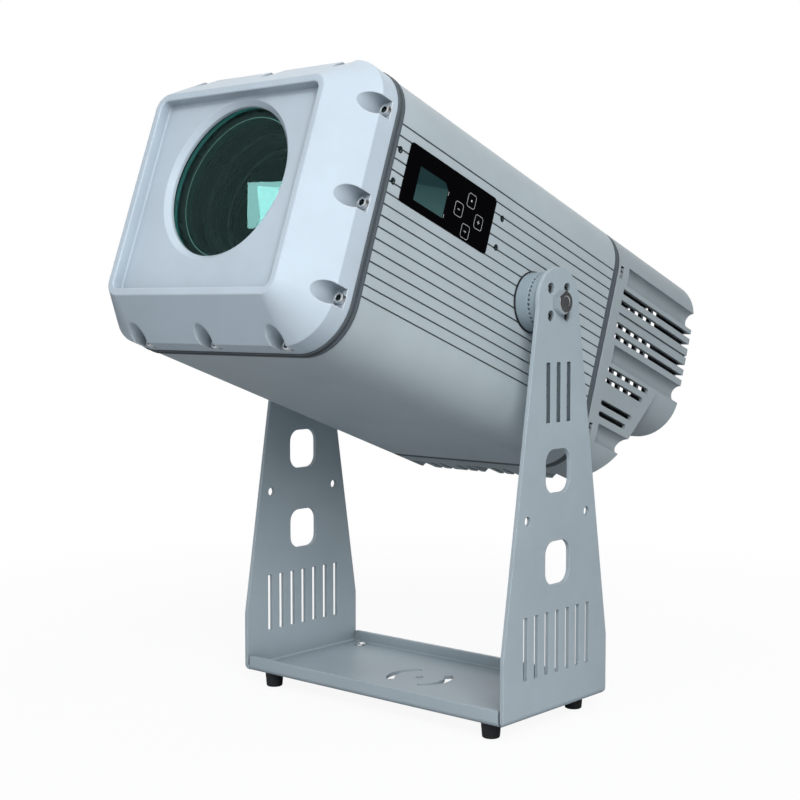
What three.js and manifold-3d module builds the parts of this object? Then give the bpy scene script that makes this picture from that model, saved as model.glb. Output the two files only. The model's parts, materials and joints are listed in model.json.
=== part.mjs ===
// Outdoor gobo projector on a folded yoke stand.
// Millimetres, +Z up, the lens looks towards -Y and the stand's feet rest on Z = 0.
// The head is drawn level about its pivot, with its length along Y, and is then pitched up.
import * as THREE from "three";
import { mergeVertices } from "three/addons/utils/BufferGeometryUtils.js";
import Module from "manifold-3d";

const wasm = await Module();
wasm.setup();

// Fits shared by every piece: the gap at a seat, the gap round what slides or drops into a bore,
// and how far a cutter runs past what it cuts
const fit = { seat: 0.3, slide: 0.6, overrun: 8 };

// Stand
const stand = {
  depth: 163,
  sheet: 4,
  foldRadius: 6,
  cornerRadius: 5,
  pivotRise: 374.7,
  shoulderRise: 58,
  crownRadius: 32,
  lipHeight: 15,
  lipRelief: 1,
};
const lowSlots = { count: 7, pitch: 16.3, width: 6, bottom: 36, top: 93.5 };
const highSlots = { count: 3, pitch: 16, width: 6, bottom: 266, top: 320.4 };
const armWindow = { width: 38, height: 40, corner: 12, lowRise: 137.7, highRise: 221.7 };
const armHole = { radius: 4.25, offset: 46.5, rise: 180 };
const trayHoles = { centreRadius: 4, arcRadius: 29, arcWidth: 8, arcHalfSpanDegrees: 54 };
const foot = { height: 15, topRadius: 9.2, baseRadius: 8, edge: 1, insetX: 26, insetY: 16.5 };
const footScrew = { headRadius: 7, headHeight: 3.2, headTopShare: 0.55, shankRadius: 3, shankLength: 13 };

// Pivot, the same on both sides
const pivot = {
  boltRadius: 6,
  boltHeadFlats: 19,
  boltHeadHeight: 7.6,
  boltChamfer: 1,
  discRadius: 27.3,
  screwSquare: 25,
  screwRecessRadius: 5,
  splitGap: 0.5,
  headDiscThickness: 14.2,
  armDiscThickness: 11.4,
  toothDepth: 1.6,
  toothHeight: 1.2,
  teeth: 36,
};

// Head: the section that the housing and both end covers share, seen from the front
const head = {
  pitchDegrees: 19.72,
  halfWidth: 134.3,
  halfHeight: 125.35,
  middleDrop: 1.45,
  cornerRadius: 44.7,
};
const screwPorts = { radius: 6.5, boreRadius: 3.3, inset: 4.3, sidePitch: 81, edgePitch: 85.5 };
const housing = {
  front: -219.5,
  rear: 118,
  wall: 3.5,
  grooveCount: 16,
  groovePitch: 10,
  grooveTop: 76,
  grooveWidth: 1.7,
  grooveDepth: 1.3,
};
const gasket = { frontDepth: 9, rearDepth: 9, width: 11, proud: 0.9, rib: 3 };

// Front: bezel, its glass and the ring that holds it
const bezel = {
  flangeDepth: 19.5,
  taperRun: 37.6,
  taperInset: 30.8,
  recessInset: 6.5,
  recessDepth: 10,
  recessCorner: 7.5,
  floor: 7.6,
  land: 22,
  openingRadius: 68,
  chamfer: 4.5,
  pocketRadius: 9,
  pocketSeat: 7,
};
const optics = { rise: 11.5 };
const bezelScrew = {
  headRadius: 5,
  headHeight: 6,
  socketFlats: 5,
  socketDepth: 3,
  shankRadius: 3,
  shankLength: 28,
};
const frontGlass = { radius: 74, thickness: 4 };
const glassRing = { innerRadius: 70, outerRadius: 78, lip: 4 };

// Optical train inside the housing, from front to rear. The barrel and the focus tube are placed
// from the housing's front end, and the rest from the pivot, along the head's length.
const bench = { halfWidth: 76, rise: -111.5, sheet: 3, front: -195, rear: 100 };
const plateHalfWidth = 72;
const barrel = {
  innerRadius: 62,
  wall: 4,
  lead: 36.5,
  length: 106,
  plate: 6,
  plateInset: 43.5,
  plateSideMargin: 6,
  plateTopMargin: 14.5,
};
const focusTube = { wall: 6.4, inset: 20, length: 72, shoulder: 4, shoulderInset: 30 };
const focusLens = { edge: 6, crown: 9 };
const gate = { plate: 4, front: -60, top: 74, apertureRadius: 20, motorBore: 11.4 };
const wheel = {
  pitchRadius: 46,
  radius: 73,
  thickness: 3,
  hubRadius: 9,
  hubLength: 4,
  shaftRadius: 2.5,
  front: -66,
};
const gobo = { count: 4, radius: 22, bore: 19, thickness: 1.1, lip: 1.2 };
const motor = { size: 35, corner: 5, length: 28, bossRadius: 11, bossLength: 3, shaftBore: 3 };
const condenser = { radius: 30, edge: 4, crown: 12, plate: 12, front: -16, top: 60, lip: 2 };
const lamp = {
  plate: 4,
  front: 14.6,
  top: 90,
  window: 64,
  base: 60,
  baseThickness: 3,
  domeRadius: 14,
  domeHeight: 3,
};
const sink = { width: 130, base: 9, fins: 11, finThickness: 2.6, finLength: 52 };
const fan = {
  size: 120,
  corner: 8,
  depth: 25,
  boreRadius: 57.5,
  hubRadius: 19,
  motorPlate: 4,
  strutWidth: 7,
  pinRadius: 2.5,
  blades: 7,
  bladeReach: 55.5,
  bladeThickness: 2.2,
  bladeDepth: 14,
  bladePitchDegrees: 32,
  place: 88,
};
const rearPlate = { thickness: 3, ventRadius: 56 };
const driver = { thickness: 38, length: 150, height: 96, front: -45, bottom: -52, edge: 3 };

// Control panel on the right-hand side of the housing
const panel = { front: -204, rear: -80, bottom: 15, top: 68, corner: 4, thickness: 3, proud: 0.4 };
const display = { front: -186.5, rear: -146.5, bottom: 23, top: 53, border: 4, back: 3 };
const board = { inset: 6, thickness: 1.6, standoff: 7, postRadius: 3, postInset: 8 };

// Rear cover
const cover = {
  depth: 155,
  wall: 4,
  slantPlace: 240.8,
  slantRise: -11.5,
  slantRunPerDropShare: 0.612,
  blockBottom: -50,
  blockCorner: 42,
  grooveRadius: 9.3,
  grooveFront: 19,
  notchFront: 3,
  notchLength: 6,
  notchWidth: 12.5,
  notchDepth: 8,
};
const sideSlots = {
  height: 5.3,
  pitch: 11.5,
  top: 63,
  front: 15.3,
  rows: 12,
  webRows: [2, 5, 6, 9],
  depth: 9,
  endMargin: 15,
};
const edgeSlots = { width: 5.3, pitch: 13.5, perPair: 2, front: 20, pairPlaces: [23.75, 58.75] };
const rearSlots = { width: 6.8, pitch: 11.5, count: 16, bottom: -6, top: 95 };
const gland = {
  rise: -88,
  holeRadius: 10.3,
  threadRadius: 10,
  hexFlats: 24,
  hexLength: 6,
  domeRadius: 10.5,
  domeLength: 16,
  cableRadius: 4,
  inside: 14,
};

const quarter = Math.PI / 2;

// Geometry helpers

/** A manifold solid from a closed three.js geometry. */
function solid(geometry) {
  const bare = geometry.clone();
  bare.deleteAttribute("normal");
  bare.deleteAttribute("uv");
  const merged = mergeVertices(bare);
  const mesh = new wasm.Mesh({
    numProp: 3,
    vertProperties: new Float32Array(merged.attributes.position.array),
    triVerts: new Uint32Array(merged.index.array),
  });
  return new wasm.Manifold(mesh);
}

/** The three.js geometry of a manifold solid. */
function geometryOf(body) {
  const mesh = body.getMesh();
  const geometry = new THREE.BufferGeometry();
  geometry.setAttribute("position", new THREE.BufferAttribute(mesh.vertProperties, 3));
  geometry.setIndex(new THREE.BufferAttribute(mesh.triVerts, 1));
  const faceted = geometry.toNonIndexed();
  faceted.computeVertexNormals();
  return faceted;
}

/** One solid from several. */
function union(bodies) {
  return bodies.reduce((sum, body) => sum.add(body));
}

/** A shape pulled out along Z; each arc or circle in it gets twice as many sides as steps. */
function extrusion(shape, depth, curveSegments) {
  return new THREE.ExtrudeGeometry(shape, { depth, bevelEnabled: false, curveSegments });
}

/** A shape drawn in X and Z, extruded along Y from one place to another. */
function alongY(shape, start, end, curveSegments = 3) {
  const geometry = extrusion(shape, end - start, curveSegments);
  geometry.rotateX(quarter);
  geometry.translate(0, end, 0);
  return solid(geometry);
}

/** A shape drawn in Y and Z, extruded along X from one place to another. */
function alongX(shape, start, end, curveSegments = 3) {
  const geometry = extrusion(shape, end - start, curveSegments);
  const turn = new THREE.Matrix4().makeBasis(
    new THREE.Vector3(0, 1, 0),
    new THREE.Vector3(0, 0, 1),
    new THREE.Vector3(1, 0, 0),
  );
  geometry.applyMatrix4(turn);
  geometry.translate(start, 0, 0);
  return solid(geometry);
}

/** A shape drawn in X and Y, extruded along Z from one place to another. */
function alongZ(shape, start, end, curveSegments = 3) {
  const geometry = extrusion(shape, end - start, curveSegments);
  geometry.translate(0, 0, start);
  return solid(geometry);
}

/** A profile of [radius, place] points turned about the Z axis. */
function turned(points, segments) {
  const profile = points.map(([radius, place]) => new THREE.Vector2(radius, place));
  const geometry = new THREE.LatheGeometry(profile, segments);
  geometry.rotateX(quarter);
  return solid(geometry);
}

/** A profile of [radius, place] points turned about a line along Y at the given rise. */
function turnedAlongY(points, segments, rise = 0) {
  const profile = points.map(([radius, place]) => new THREE.Vector2(radius, place));
  const geometry = new THREE.LatheGeometry(profile, segments);
  geometry.translate(0, 0, rise);
  return solid(geometry);
}

/** A rectangle between four edges, with its corners rounded by a radius. */
function rectangle(left, right, bottom, top, radius = 0) {
  const shape = new THREE.Shape();
  if (radius === 0) {
    shape.moveTo(left, bottom).lineTo(right, bottom).lineTo(right, top).lineTo(left, top);
    return shape;
  }
  shape.absarc(right - radius, top - radius, radius, 0, quarter);
  shape.absarc(left + radius, top - radius, radius, quarter, Math.PI);
  shape.absarc(left + radius, bottom + radius, radius, Math.PI, Math.PI + quarter);
  shape.absarc(right - radius, bottom + radius, radius, Math.PI + quarter, Math.PI + Math.PI);
  return shape;
}

/** A full circle about a point. */
function circle(radius, across = 0, up = 0) {
  return new THREE.Shape().absarc(across, up, radius, 0, Math.PI + Math.PI);
}

/** A hexagon by its width across the flats, its first corner at an angle. */
function hexagon(flats, startAngle = 0) {
  const radius = flats / Math.sqrt(3);
  const corners = Array.from({ length: 6 }, (unused, k) => startAngle + (k * Math.PI) / 3);
  return new THREE.Shape(
    corners.map((angle) => new THREE.Vector2(radius * Math.cos(angle), radius * Math.sin(angle))),
  );
}

/** The places of a centred row: count of them, a pitch apart. */
function row(count, pitch) {
  return Array.from({ length: count }, (unused, k) => (k - (count - 1) / 2) * pitch);
}

/** The outline of the head, grown (or shrunk) all round. */
function headOutline(growth = 0) {
  return rectangle(
    -head.halfWidth - growth,
    head.halfWidth + growth,
    -head.middleDrop - head.halfHeight - growth,
    -head.middleDrop + head.halfHeight + growth,
    head.cornerRadius + growth,
  );
}

/** A shape with a hole added to it. */
function withHole(shape, hole) {
  shape.holes.push(hole);
  return shape;
}

/** A plain finish by its colour, roughness and metalness. */
function standard(color, roughness, metalness) {
  return new THREE.MeshStandardMaterial({ color, roughness, metalness });
}

const finish = {
  paint: () => standard("#a6b0b8", 0.45, 0.25),
  frontPaint: () => standard("#bccad8", 0.4, 0.2),
  trayPaint: () => standard("#acbbc8", 0.45, 0.25),
  rubber: () => standard("#1e2226", 0.85, 0),
  seal: () => standard("#4b535a", 0.8, 0),
  steel: () => standard("#c4c6c8", 0.3, 0.9),
  aluminium: () => standard("#b4b8bb", 0.45, 0.85),
  blackPlastic: () => standard("#0c0d0f", 0.25, 0),
  blackMetal: () => standard("#17191b", 0.5, 0.5),
  screen: () => standard("#2f4f57", 0.15, 0),
  glass: () => standard("#9fd6d2", 0.05, 0),
  circuit: () => standard("#1f5a35", 0.5, 0),
  emitter: () => standard("#e8d66a", 0.4, 0),
};

/** A named mesh with its own material. */
function piece(name, body, material) {
  const mesh = new THREE.Mesh(geometryOf(body), material);
  mesh.name = name;
  return mesh;
}

// Places shared by the pieces
const armDiscInner = head.halfWidth + fit.seat + pivot.headDiscThickness + pivot.splitGap;
const armInner = armDiscInner + pivot.armDiscThickness + fit.seat;
const armOuter = armInner + stand.sheet;
const pivotHeight = foot.height + fit.seat + stand.pivotRise;
const sectionBottom = -head.middleDrop - head.halfHeight;
const sectionTop = -head.middleDrop + head.halfHeight;
const bezelBack = housing.front - gasket.frontDepth - fit.seat;
const bezelFront = bezelBack - bezel.flangeDepth - bezel.taperRun;
const recessFloor = bezelFront + bezel.recessDepth;
const barrelOuter = barrel.innerRadius + barrel.wall;
const barrelFront = housing.front - barrel.lead;
const tubeOuter = barrel.innerRadius - fit.slide;
const tubeInner = tubeOuter - focusTube.wall;
const tubeFront = barrelFront + focusTube.inset;
const shoulderPlace = tubeFront + focusTube.shoulderInset;
const coverFront = housing.rear + gasket.rearDepth + fit.seat;
const coverRear = coverFront + cover.depth;

/** Every place round the section where a screw runs along the head: [across, up]. */
const screwPlaces = [];
for (const side of [-1, 1]) {
  for (const step of [-1, 0, 1]) {
    const up = -head.middleDrop + step * screwPorts.sidePitch;
    screwPlaces.push([side * (head.halfWidth - screwPorts.inset), up]);
    const edge = side > 0 ? sectionTop - screwPorts.inset : sectionBottom + screwPorts.inset;
    screwPlaces.push([step * screwPorts.edgePitch, edge]);
  }
}

// Stand: one sheet folded into a tray with two arms

/** The arm's outline in Y and Z: square shoulders, then a straight taper onto the crown. */
function armOutline() {
  const half = stand.depth / 2;
  const rise = stand.pivotRise - stand.shoulderRise;
  const reach = Math.hypot(half, rise);
  // the taper leaves the shoulder and touches the crown circle
  const tangent = Math.atan2(rise, half) - Math.acos(stand.crownRadius / reach);
  const corner = stand.cornerRadius;
  const shape = new THREE.Shape();
  shape.moveTo(-half + corner, 0);
  shape.lineTo(half - corner, 0);
  shape.absarc(half - corner, corner, corner, -quarter, 0);
  shape.lineTo(half, stand.shoulderRise);
  shape.absarc(0, stand.pivotRise, stand.crownRadius, -tangent, Math.PI + tangent);
  shape.lineTo(-half, stand.shoulderRise);
  shape.lineTo(-half, corner);
  shape.absarc(-half + corner, corner, corner, Math.PI, Math.PI + quarter);
  return shape;
}

/** The folded sheet seen from the front: arm, fold, tray, fold, arm. */
function standProfile() {
  const half = armOuter;
  const top = stand.pivotRise + stand.crownRadius;
  const outer = stand.foldRadius;
  const inner = outer - stand.sheet;
  const shape = new THREE.Shape();
  shape.moveTo(-half, top);
  shape.lineTo(-half, outer);
  shape.absarc(-half + outer, outer, outer, Math.PI, Math.PI + quarter);
  shape.absarc(half - outer, outer, outer, -quarter, 0);
  shape.lineTo(half, top);
  shape.lineTo(half - stand.sheet, top);
  shape.absarc(half - outer, outer, inner, 0, -quarter, true);
  shape.absarc(-half + outer, outer, inner, -quarter, -Math.PI, true);
  shape.lineTo(-half + stand.sheet, top);
  return shape;
}

/** The lip's section in Y and Z: up from a fold at the tray's edge. */
function lipProfile() {
  const half = stand.depth / 2;
  const outer = stand.cornerRadius;
  const inner = outer - stand.sheet;
  const shape = new THREE.Shape();
  shape.moveTo(half - outer - stand.sheet, 0);
  shape.absarc(half - outer, outer, outer, -quarter, 0);
  shape.lineTo(half, stand.lipHeight);
  shape.lineTo(half - stand.sheet, stand.lipHeight);
  shape.absarc(half - outer, outer, inner, 0, -quarter, true);
  shape.lineTo(half - outer - stand.sheet, stand.sheet);
  return shape;
}

/** A cutter through both arms from a shape in Y and Z. */
function throughArms(shape, curveSegments) {
  const reach = armOuter + fit.overrun;
  return alongX(shape, -reach, reach, curveSegments);
}

/** An arc-shaped slot in the tray, centred on the X axis on the given side. */
function trayArc(side) {
  const middle = side > 0 ? 0 : Math.PI;
  const half = THREE.MathUtils.degToRad(trayHoles.arcHalfSpanDegrees);
  const shape = new THREE.Shape();
  const inner = trayHoles.arcRadius - trayHoles.arcWidth / 2;
  const outer = trayHoles.arcRadius + trayHoles.arcWidth / 2;
  shape.absarc(0, 0, outer, middle - half, middle + half);
  shape.absarc(0, 0, inner, middle + half, middle - half, true);
  return shape;
}

/** The upright slots of one row, cut through both arms. */
function slotRow(slots) {
  return row(slots.count, slots.pitch).map((place) =>
    throughArms(
      rectangle(place - slots.width / 2, place + slots.width / 2, slots.bottom, slots.top),
    ),
  );
}

/** Where the feet stand, by name: [across, along]. */
function footPlaces() {
  const x = armOuter - foot.insetX;
  const y = stand.depth / 2 - foot.insetY;
  return {
    front_left: [-x, -y],
    front_right: [x, -y],
    rear_left: [-x, y],
    rear_right: [x, y],
  };
}

/** The folded stand with its slots, windows and holes. */
function standBracket() {
  const half = stand.depth / 2;
  const lipReach = armInner - stand.lipRelief;
  const lip = alongX(lipProfile(), -lipReach, lipReach, 2);
  const sheet = alongY(standProfile(), -half, half, 2)
    .intersect(throughArms(armOutline(), 8))
    .add(lip)
    .add(lip.mirror([0, 1, 0]));
  const cuts = [...slotRow(lowSlots), ...slotRow(highSlots)];
  for (const rise of [armWindow.lowRise, armWindow.highRise]) {
    const x = armWindow.width / 2;
    const z = armWindow.height / 2;
    cuts.push(throughArms(rectangle(-x, x, rise - z, rise + z, armWindow.corner), 2));
  }
  for (const side of [-1, 1]) {
    cuts.push(throughArms(circle(armHole.radius, side * armHole.offset, armHole.rise), 4));
    cuts.push(alongZ(trayArc(side), -fit.overrun, fit.overrun, 4));
    for (const other of [-1, 1]) {
      const y = (side * pivot.screwSquare) / 2;
      const z = stand.pivotRise + (other * pivot.screwSquare) / 2;
      cuts.push(throughArms(circle(pivot.screwRecessRadius, y, z), 4));
    }
  }
  cuts.push(throughArms(circle(pivot.boltRadius + fit.seat, 0, stand.pivotRise), 7));
  cuts.push(alongZ(circle(trayHoles.centreRadius), -fit.overrun, fit.overrun, 4));
  for (const [x, y] of Object.values(footPlaces())) {
    const bore = circle(footScrew.shankRadius + fit.seat, x, y);
    cuts.push(alongZ(bore, -fit.overrun, fit.overrun, 4));
  }
  return sheet.subtract(union(cuts));
}

/** A rubber foot: a tapered stub with a rounded bottom edge and a blind bore for its screw. */
function rubberFoot() {
  const bore = footScrew.shankRadius + fit.seat;
  const boreEnd = foot.height + fit.seat + stand.sheet - footScrew.shankLength;
  return turned(
    [
      [0, 0],
      [foot.baseRadius - foot.edge, 0],
      [foot.baseRadius, foot.edge],
      [foot.topRadius, foot.height],
      [bore, foot.height],
      [bore, boreEnd],
      [0, boreEnd],
    ],
    12,
  );
}

/** A dome-headed screw standing on the tray, its shank down through it. */
function domeScrew() {
  const top = footScrew.headHeight;
  return turned(
    [
      [0, fit.seat - footScrew.shankLength],
      [footScrew.shankRadius, fit.seat - footScrew.shankLength],
      [footScrew.shankRadius, 0],
      [footScrew.headRadius, 0],
      [footScrew.headRadius * footScrew.headTopShare, top],
      [0, top],
    ],
    10,
  );
}

// Pivot: a toothed disc on each arm, a plain disc on the head and a hexagon bolt through both

/** The clearance bore of the pivot bolt, drawn about the pivot. */
function pivotBore() {
  return circle(pivot.boltRadius + fit.seat);
}

/** The serrated edge of a disc, drawn in Y and Z: pointed teeth, crest and root in turn. */
function toothedOutline() {
  const root = pivot.discRadius - pivot.toothHeight;
  const corners = Array.from({ length: pivot.teeth + pivot.teeth }, (unused, k) => {
    const radius = k % 2 === 0 ? pivot.discRadius : root;
    const angle = (k * Math.PI) / pivot.teeth;
    return new THREE.Vector2(radius * Math.cos(angle), radius * Math.sin(angle));
  });
  return new THREE.Shape(corners);
}

/** The disc that is fixed inside the right-hand arm, its teeth towards the head. */
function armDisc() {
  const outer = armInner - fit.seat;
  const plain = alongX(circle(pivot.discRadius), armDiscInner + pivot.toothDepth, outer, 18);
  const teeth = alongX(toothedOutline(), armDiscInner, armDiscInner + pivot.toothDepth);
  const bore = alongX(pivotBore(), armDiscInner - fit.overrun, outer + fit.overrun, 8);
  return plain.add(teeth).subtract(bore);
}

/** The disc that is fixed to the housing's right-hand side. */
function headDisc() {
  const inner = head.halfWidth + fit.seat;
  const outer = inner + pivot.headDiscThickness;
  const bore = alongX(pivotBore(), inner - fit.overrun, outer + fit.overrun, 8);
  return alongX(circle(pivot.discRadius), inner, outer, 18).subtract(bore);
}

/** The right-hand pivot bolt: a chamfered hexagon head outside the arm and a shank into the head. */
function clampBolt() {
  const seat = armOuter + fit.seat;
  const end = seat + pivot.boltHeadHeight;
  const corner = pivot.boltHeadFlats / Math.sqrt(3);
  const hexHead = alongX(hexagon(pivot.boltHeadFlats, quarter / 3), seat, end);
  const crown = new THREE.LatheGeometry(
    [
      new THREE.Vector2(0, seat),
      new THREE.Vector2(corner + pivot.boltChamfer, seat),
      new THREE.Vector2(corner + pivot.boltChamfer, end - pivot.boltChamfer - pivot.boltChamfer),
      new THREE.Vector2(pivot.boltHeadFlats / 2 - pivot.boltChamfer / 2, end),
      new THREE.Vector2(0, end),
    ],
    24,
  );
  crown.rotateZ(-quarter);
  const shank = alongX(circle(pivot.boltRadius), head.halfWidth + fit.seat, seat + pivot.boltChamfer, 8);
  return hexHead.intersect(solid(crown)).add(shank);
}

// Housing: an extruded tube with lengthwise grooves on both sides and screw ports in its wall

/** The housing's outline with its grooves, drawn in X and Z. */
function housingOutline() {
  const x = head.halfWidth;
  const radius = head.cornerRadius;
  const innerX = x - housing.grooveDepth;
  const half = housing.grooveWidth / 2;
  const { grooveCount, groovePitch, grooveTop } = housing;
  const rises = Array.from({ length: grooveCount }, (unused, k) => grooveTop - k * groovePitch);
  const shape = new THREE.Shape();
  shape.absarc(x - radius, sectionTop - radius, radius, 0, quarter);
  shape.absarc(-x + radius, sectionTop - radius, radius, quarter, Math.PI);
  for (const rise of rises) {
    shape.lineTo(-x, rise + half);
    shape.lineTo(-innerX, rise + half);
    shape.lineTo(-innerX, rise - half);
    shape.lineTo(-x, rise - half);
  }
  shape.absarc(-x + radius, sectionBottom + radius, radius, Math.PI, Math.PI + quarter);
  shape.absarc(x - radius, sectionBottom + radius, radius, Math.PI + quarter, Math.PI + Math.PI);
  for (const rise of [...rises].reverse()) {
    shape.lineTo(x, rise - half);
    shape.lineTo(innerX, rise - half);
    shape.lineTo(innerX, rise + half);
    shape.lineTo(x, rise + half);
  }
  return shape;
}

/** The clearance bores of all the bezel's screws, between two places. */
function screwBores(start, end, segments) {
  return screwPlaces.map(([x, z]) => alongY(circle(screwPorts.boreRadius, x, z), start, end, segments));
}

/** The housing: a grooved tube, a port for each screw, the panel's opening and the pivot bores. */
function housingTube() {
  const { front, rear, wall } = housing;
  const overrun = fit.overrun;
  const tube = alongY(housingOutline(), front, rear, 4);
  const hollow = alongY(headOutline(-wall), front - overrun, rear + overrun, 4);
  const ports = screwPlaces.map(([x, z]) => alongY(circle(screwPorts.radius, x, z), front, rear, 3));
  const bores = screwBores(front - overrun, frontBoreEnd, 4);
  const portRibs = union(ports).intersect(alongY(headOutline(-housing.grooveDepth), front, rear, 4));
  const opening = panelOpening(0);
  const reach = head.halfWidth + overrun;
  const axle = alongX(pivotBore(), -reach, reach, 8);
  return tube.subtract(hollow).add(portRibs).subtract(union([...bores, opening, axle]));
}

/** The block that the control panel fills in the housing's side, shrunk all round by a gap. */
function panelOpening(gap) {
  const shape = rectangle(
    panel.front + gap,
    panel.rear - gap,
    panel.bottom + gap,
    panel.top - gap,
    panel.corner - gap,
  );
  return alongX(shape, head.halfWidth - housing.wall - fit.overrun, head.halfWidth + fit.overrun, 2);
}

/** A flat seal ring between two parts of the head. */
function sealRing(start, end, growth) {
  return alongY(headOutline(growth), start, end, 4).subtract(
    alongY(headOutline(-gasket.width), start - fit.overrun, end + fit.overrun, 4),
  );
}

/** The front gasket: two proud ribs with a groove between them, and holes for the bezel's screws. */
function frontGasket() {
  const start = bezelBack + fit.seat;
  const end = housing.front - fit.seat;
  const ribs = sealRing(start, start + gasket.rib, gasket.proud).add(
    sealRing(end - gasket.rib, end, gasket.proud),
  );
  const holes = screwBores(start - fit.overrun, end + fit.overrun, 3);
  return ribs.add(sealRing(start, end, 0)).subtract(union(holes));
}

/** The plain seal between the housing and the rear cover. */
function rearGasket() {
  return sealRing(housing.rear + fit.seat, coverFront - fit.seat, 0);
}

// Front bezel: the head's outline drawn in to a smaller face, dished round the lens opening

const frontBoreEnd = bezelBack - bezel.pocketSeat + bezelScrew.shankLength;

/** The tapered block: the face's outline, grown by a straight bevel to the head's full outline. */
function bezelBlock() {
  const shape = headOutline(-bezel.taperInset);
  const geometry = new THREE.ExtrudeGeometry(shape, {
    depth: bezel.flangeDepth + bezel.taperRun,
    bevelEnabled: true,
    bevelThickness: bezel.taperRun,
    bevelSize: bezel.taperInset,
    bevelSegments: 1,
    curveSegments: 4,
  });
  geometry.rotateX(quarter);
  // both ends are bevelled, so the rear end is cut off at the gasket
  geometry.translate(0, bezelFront + bezel.taperRun + bezel.flangeDepth + bezel.taperRun, 0);
  const rear = alongY(
    headOutline(fit.overrun),
    bezelBack,
    bezelBack + bezel.taperRun + bezel.taperRun + fit.overrun,
    1,
  );
  return solid(geometry).subtract(rear);
}

/** The scooped pocket over one bezel screw: a round scoop, open to the outside of the head. */
function scoop([x, z]) {
  const seat = bezelBack - bezel.pocketSeat;
  return alongY(circle(bezel.pocketRadius, x, z), bezelFront - fit.overrun, seat, 7);
}

/** The bezel: a tapered block, dished in front, hollow behind and open for the lens. */
function frontBezel() {
  const recess = alongY(
    rectangle(
      -head.halfWidth + bezel.taperInset + bezel.recessInset,
      head.halfWidth - bezel.taperInset - bezel.recessInset,
      sectionBottom + bezel.taperInset + bezel.recessInset,
      sectionTop - bezel.taperInset - bezel.recessInset,
      bezel.recessCorner,
    ),
    bezelFront - fit.overrun,
    recessFloor,
    3,
  );
  const cavity = alongY(headOutline(-bezel.land), recessFloor + bezel.floor, bezelBack + fit.overrun, 3);
  const opening = turnedAlongY(
    [
      [0, recessFloor - bezel.chamfer],
      [bezel.openingRadius + bezel.chamfer + bezel.chamfer, recessFloor - bezel.chamfer],
      [bezel.openingRadius, recessFloor + bezel.chamfer],
      [bezel.openingRadius, recessFloor + bezel.floor + fit.overrun],
      [0, recessFloor + bezel.floor + fit.overrun],
    ],
    40,
    optics.rise,
  );
  const bores = screwBores(bezelBack - bezel.pocketSeat - fit.overrun, bezelBack + fit.overrun, 4);
  return bezelBlock().subtract(union([recess, cavity, opening, ...screwPlaces.map(scoop), ...bores]));
}

/** A socket-head screw in its scoop, its shank back into the housing's port. */
function capScrew([x, z]) {
  const seat = bezelBack - bezel.pocketSeat - fit.seat;
  const top = seat - bezelScrew.headHeight;
  const shankStart = seat - bezelScrew.socketDepth / 2;
  const cap = alongY(circle(bezelScrew.headRadius, x, z), top, seat, 5);
  const shank = alongY(circle(bezelScrew.shankRadius, x, z), shankStart, frontBoreEnd - fit.seat, 3);
  const socketShape = hexagon(bezelScrew.socketFlats);
  const socket = alongY(socketShape, top - fit.overrun, top + bezelScrew.socketDepth).translate([x, 0, z]);
  return cap.add(shank).subtract(socket);
}

const glassFront = recessFloor + bezel.floor + fit.seat;

/** The round window in front of the lenses. */
function windowGlass() {
  return turnedAlongY(
    [
      [0, glassFront],
      [frontGlass.radius, glassFront],
      [frontGlass.radius, glassFront + frontGlass.thickness],
      [0, glassFront + frontGlass.thickness],
    ],
    32,
    optics.rise,
  );
}

/** The ring that holds the glass: a skirt down to the bezel's floor and a lip behind the glass. */
function retainingRing() {
  const back = glassFront + frontGlass.thickness + fit.seat;
  return turnedAlongY(
    [
      [frontGlass.radius + fit.seat, glassFront],
      [glassRing.outerRadius, glassFront],
      [glassRing.outerRadius, back + glassRing.lip],
      [glassRing.innerRadius, back + glassRing.lip],
      [glassRing.innerRadius, back],
      [frontGlass.radius + fit.seat, back],
      [frontGlass.radius + fit.seat, glassFront],
    ],
    32,
    optics.rise,
  );
}

// Optical bench and what stands on it

const benchTop = bench.rise + fit.seat;
const goboAxis = optics.rise - wheel.pitchRadius;

/** The bench: a sheet folded down at both sides, its edges on the housing between the screw ports. */
function opticalBench() {
  const { halfWidth, rise, sheet } = bench;
  const floor = sectionBottom + housing.wall + fit.seat;
  const shape = new THREE.Shape();
  shape.moveTo(-halfWidth, floor).lineTo(-halfWidth + sheet, floor);
  shape.lineTo(-halfWidth + sheet, rise - sheet).lineTo(halfWidth - sheet, rise - sheet);
  shape.lineTo(halfWidth - sheet, floor).lineTo(halfWidth, floor);
  shape.lineTo(halfWidth, rise).lineTo(-halfWidth, rise);
  return alongY(shape, bench.front, bench.rear);
}

/** An upright plate on the bench, with its own top. */
function upright(front, thickness, top, holes, halfWidth = plateHalfWidth) {
  const shape = rectangle(-halfWidth, halfWidth, benchTop, top);
  return alongY(shape, front, front + thickness).subtract(union(holes));
}

/** A round cutter through an upright plate, on the middle line of the bench. */
function throughPlate(radius, front, thickness, rise, segments) {
  return alongY(circle(radius, 0, rise), front - fit.overrun, front + thickness + fit.overrun, segments);
}

/** The upright that holds the lens barrel. */
function barrelPlate() {
  const front = housing.front + barrel.plateInset;
  const bore = throughPlate(barrelOuter + fit.seat, front, barrel.plate, optics.rise, 20);
  const top = optics.rise + barrelOuter + barrel.plateTopMargin;
  return upright(front, barrel.plate, top, [bore], barrelOuter + barrel.plateSideMargin);
}

/** The fixed barrel round the focus tube. */
function lensBarrel() {
  const rear = barrelFront + barrel.length;
  return turnedAlongY(
    [
      [barrel.innerRadius, barrelFront],
      [barrelOuter, barrelFront],
      [barrelOuter, rear],
      [barrel.innerRadius, rear],
      [barrel.innerRadius, barrelFront],
    ],
    32,
    optics.rise,
  );
}

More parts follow.
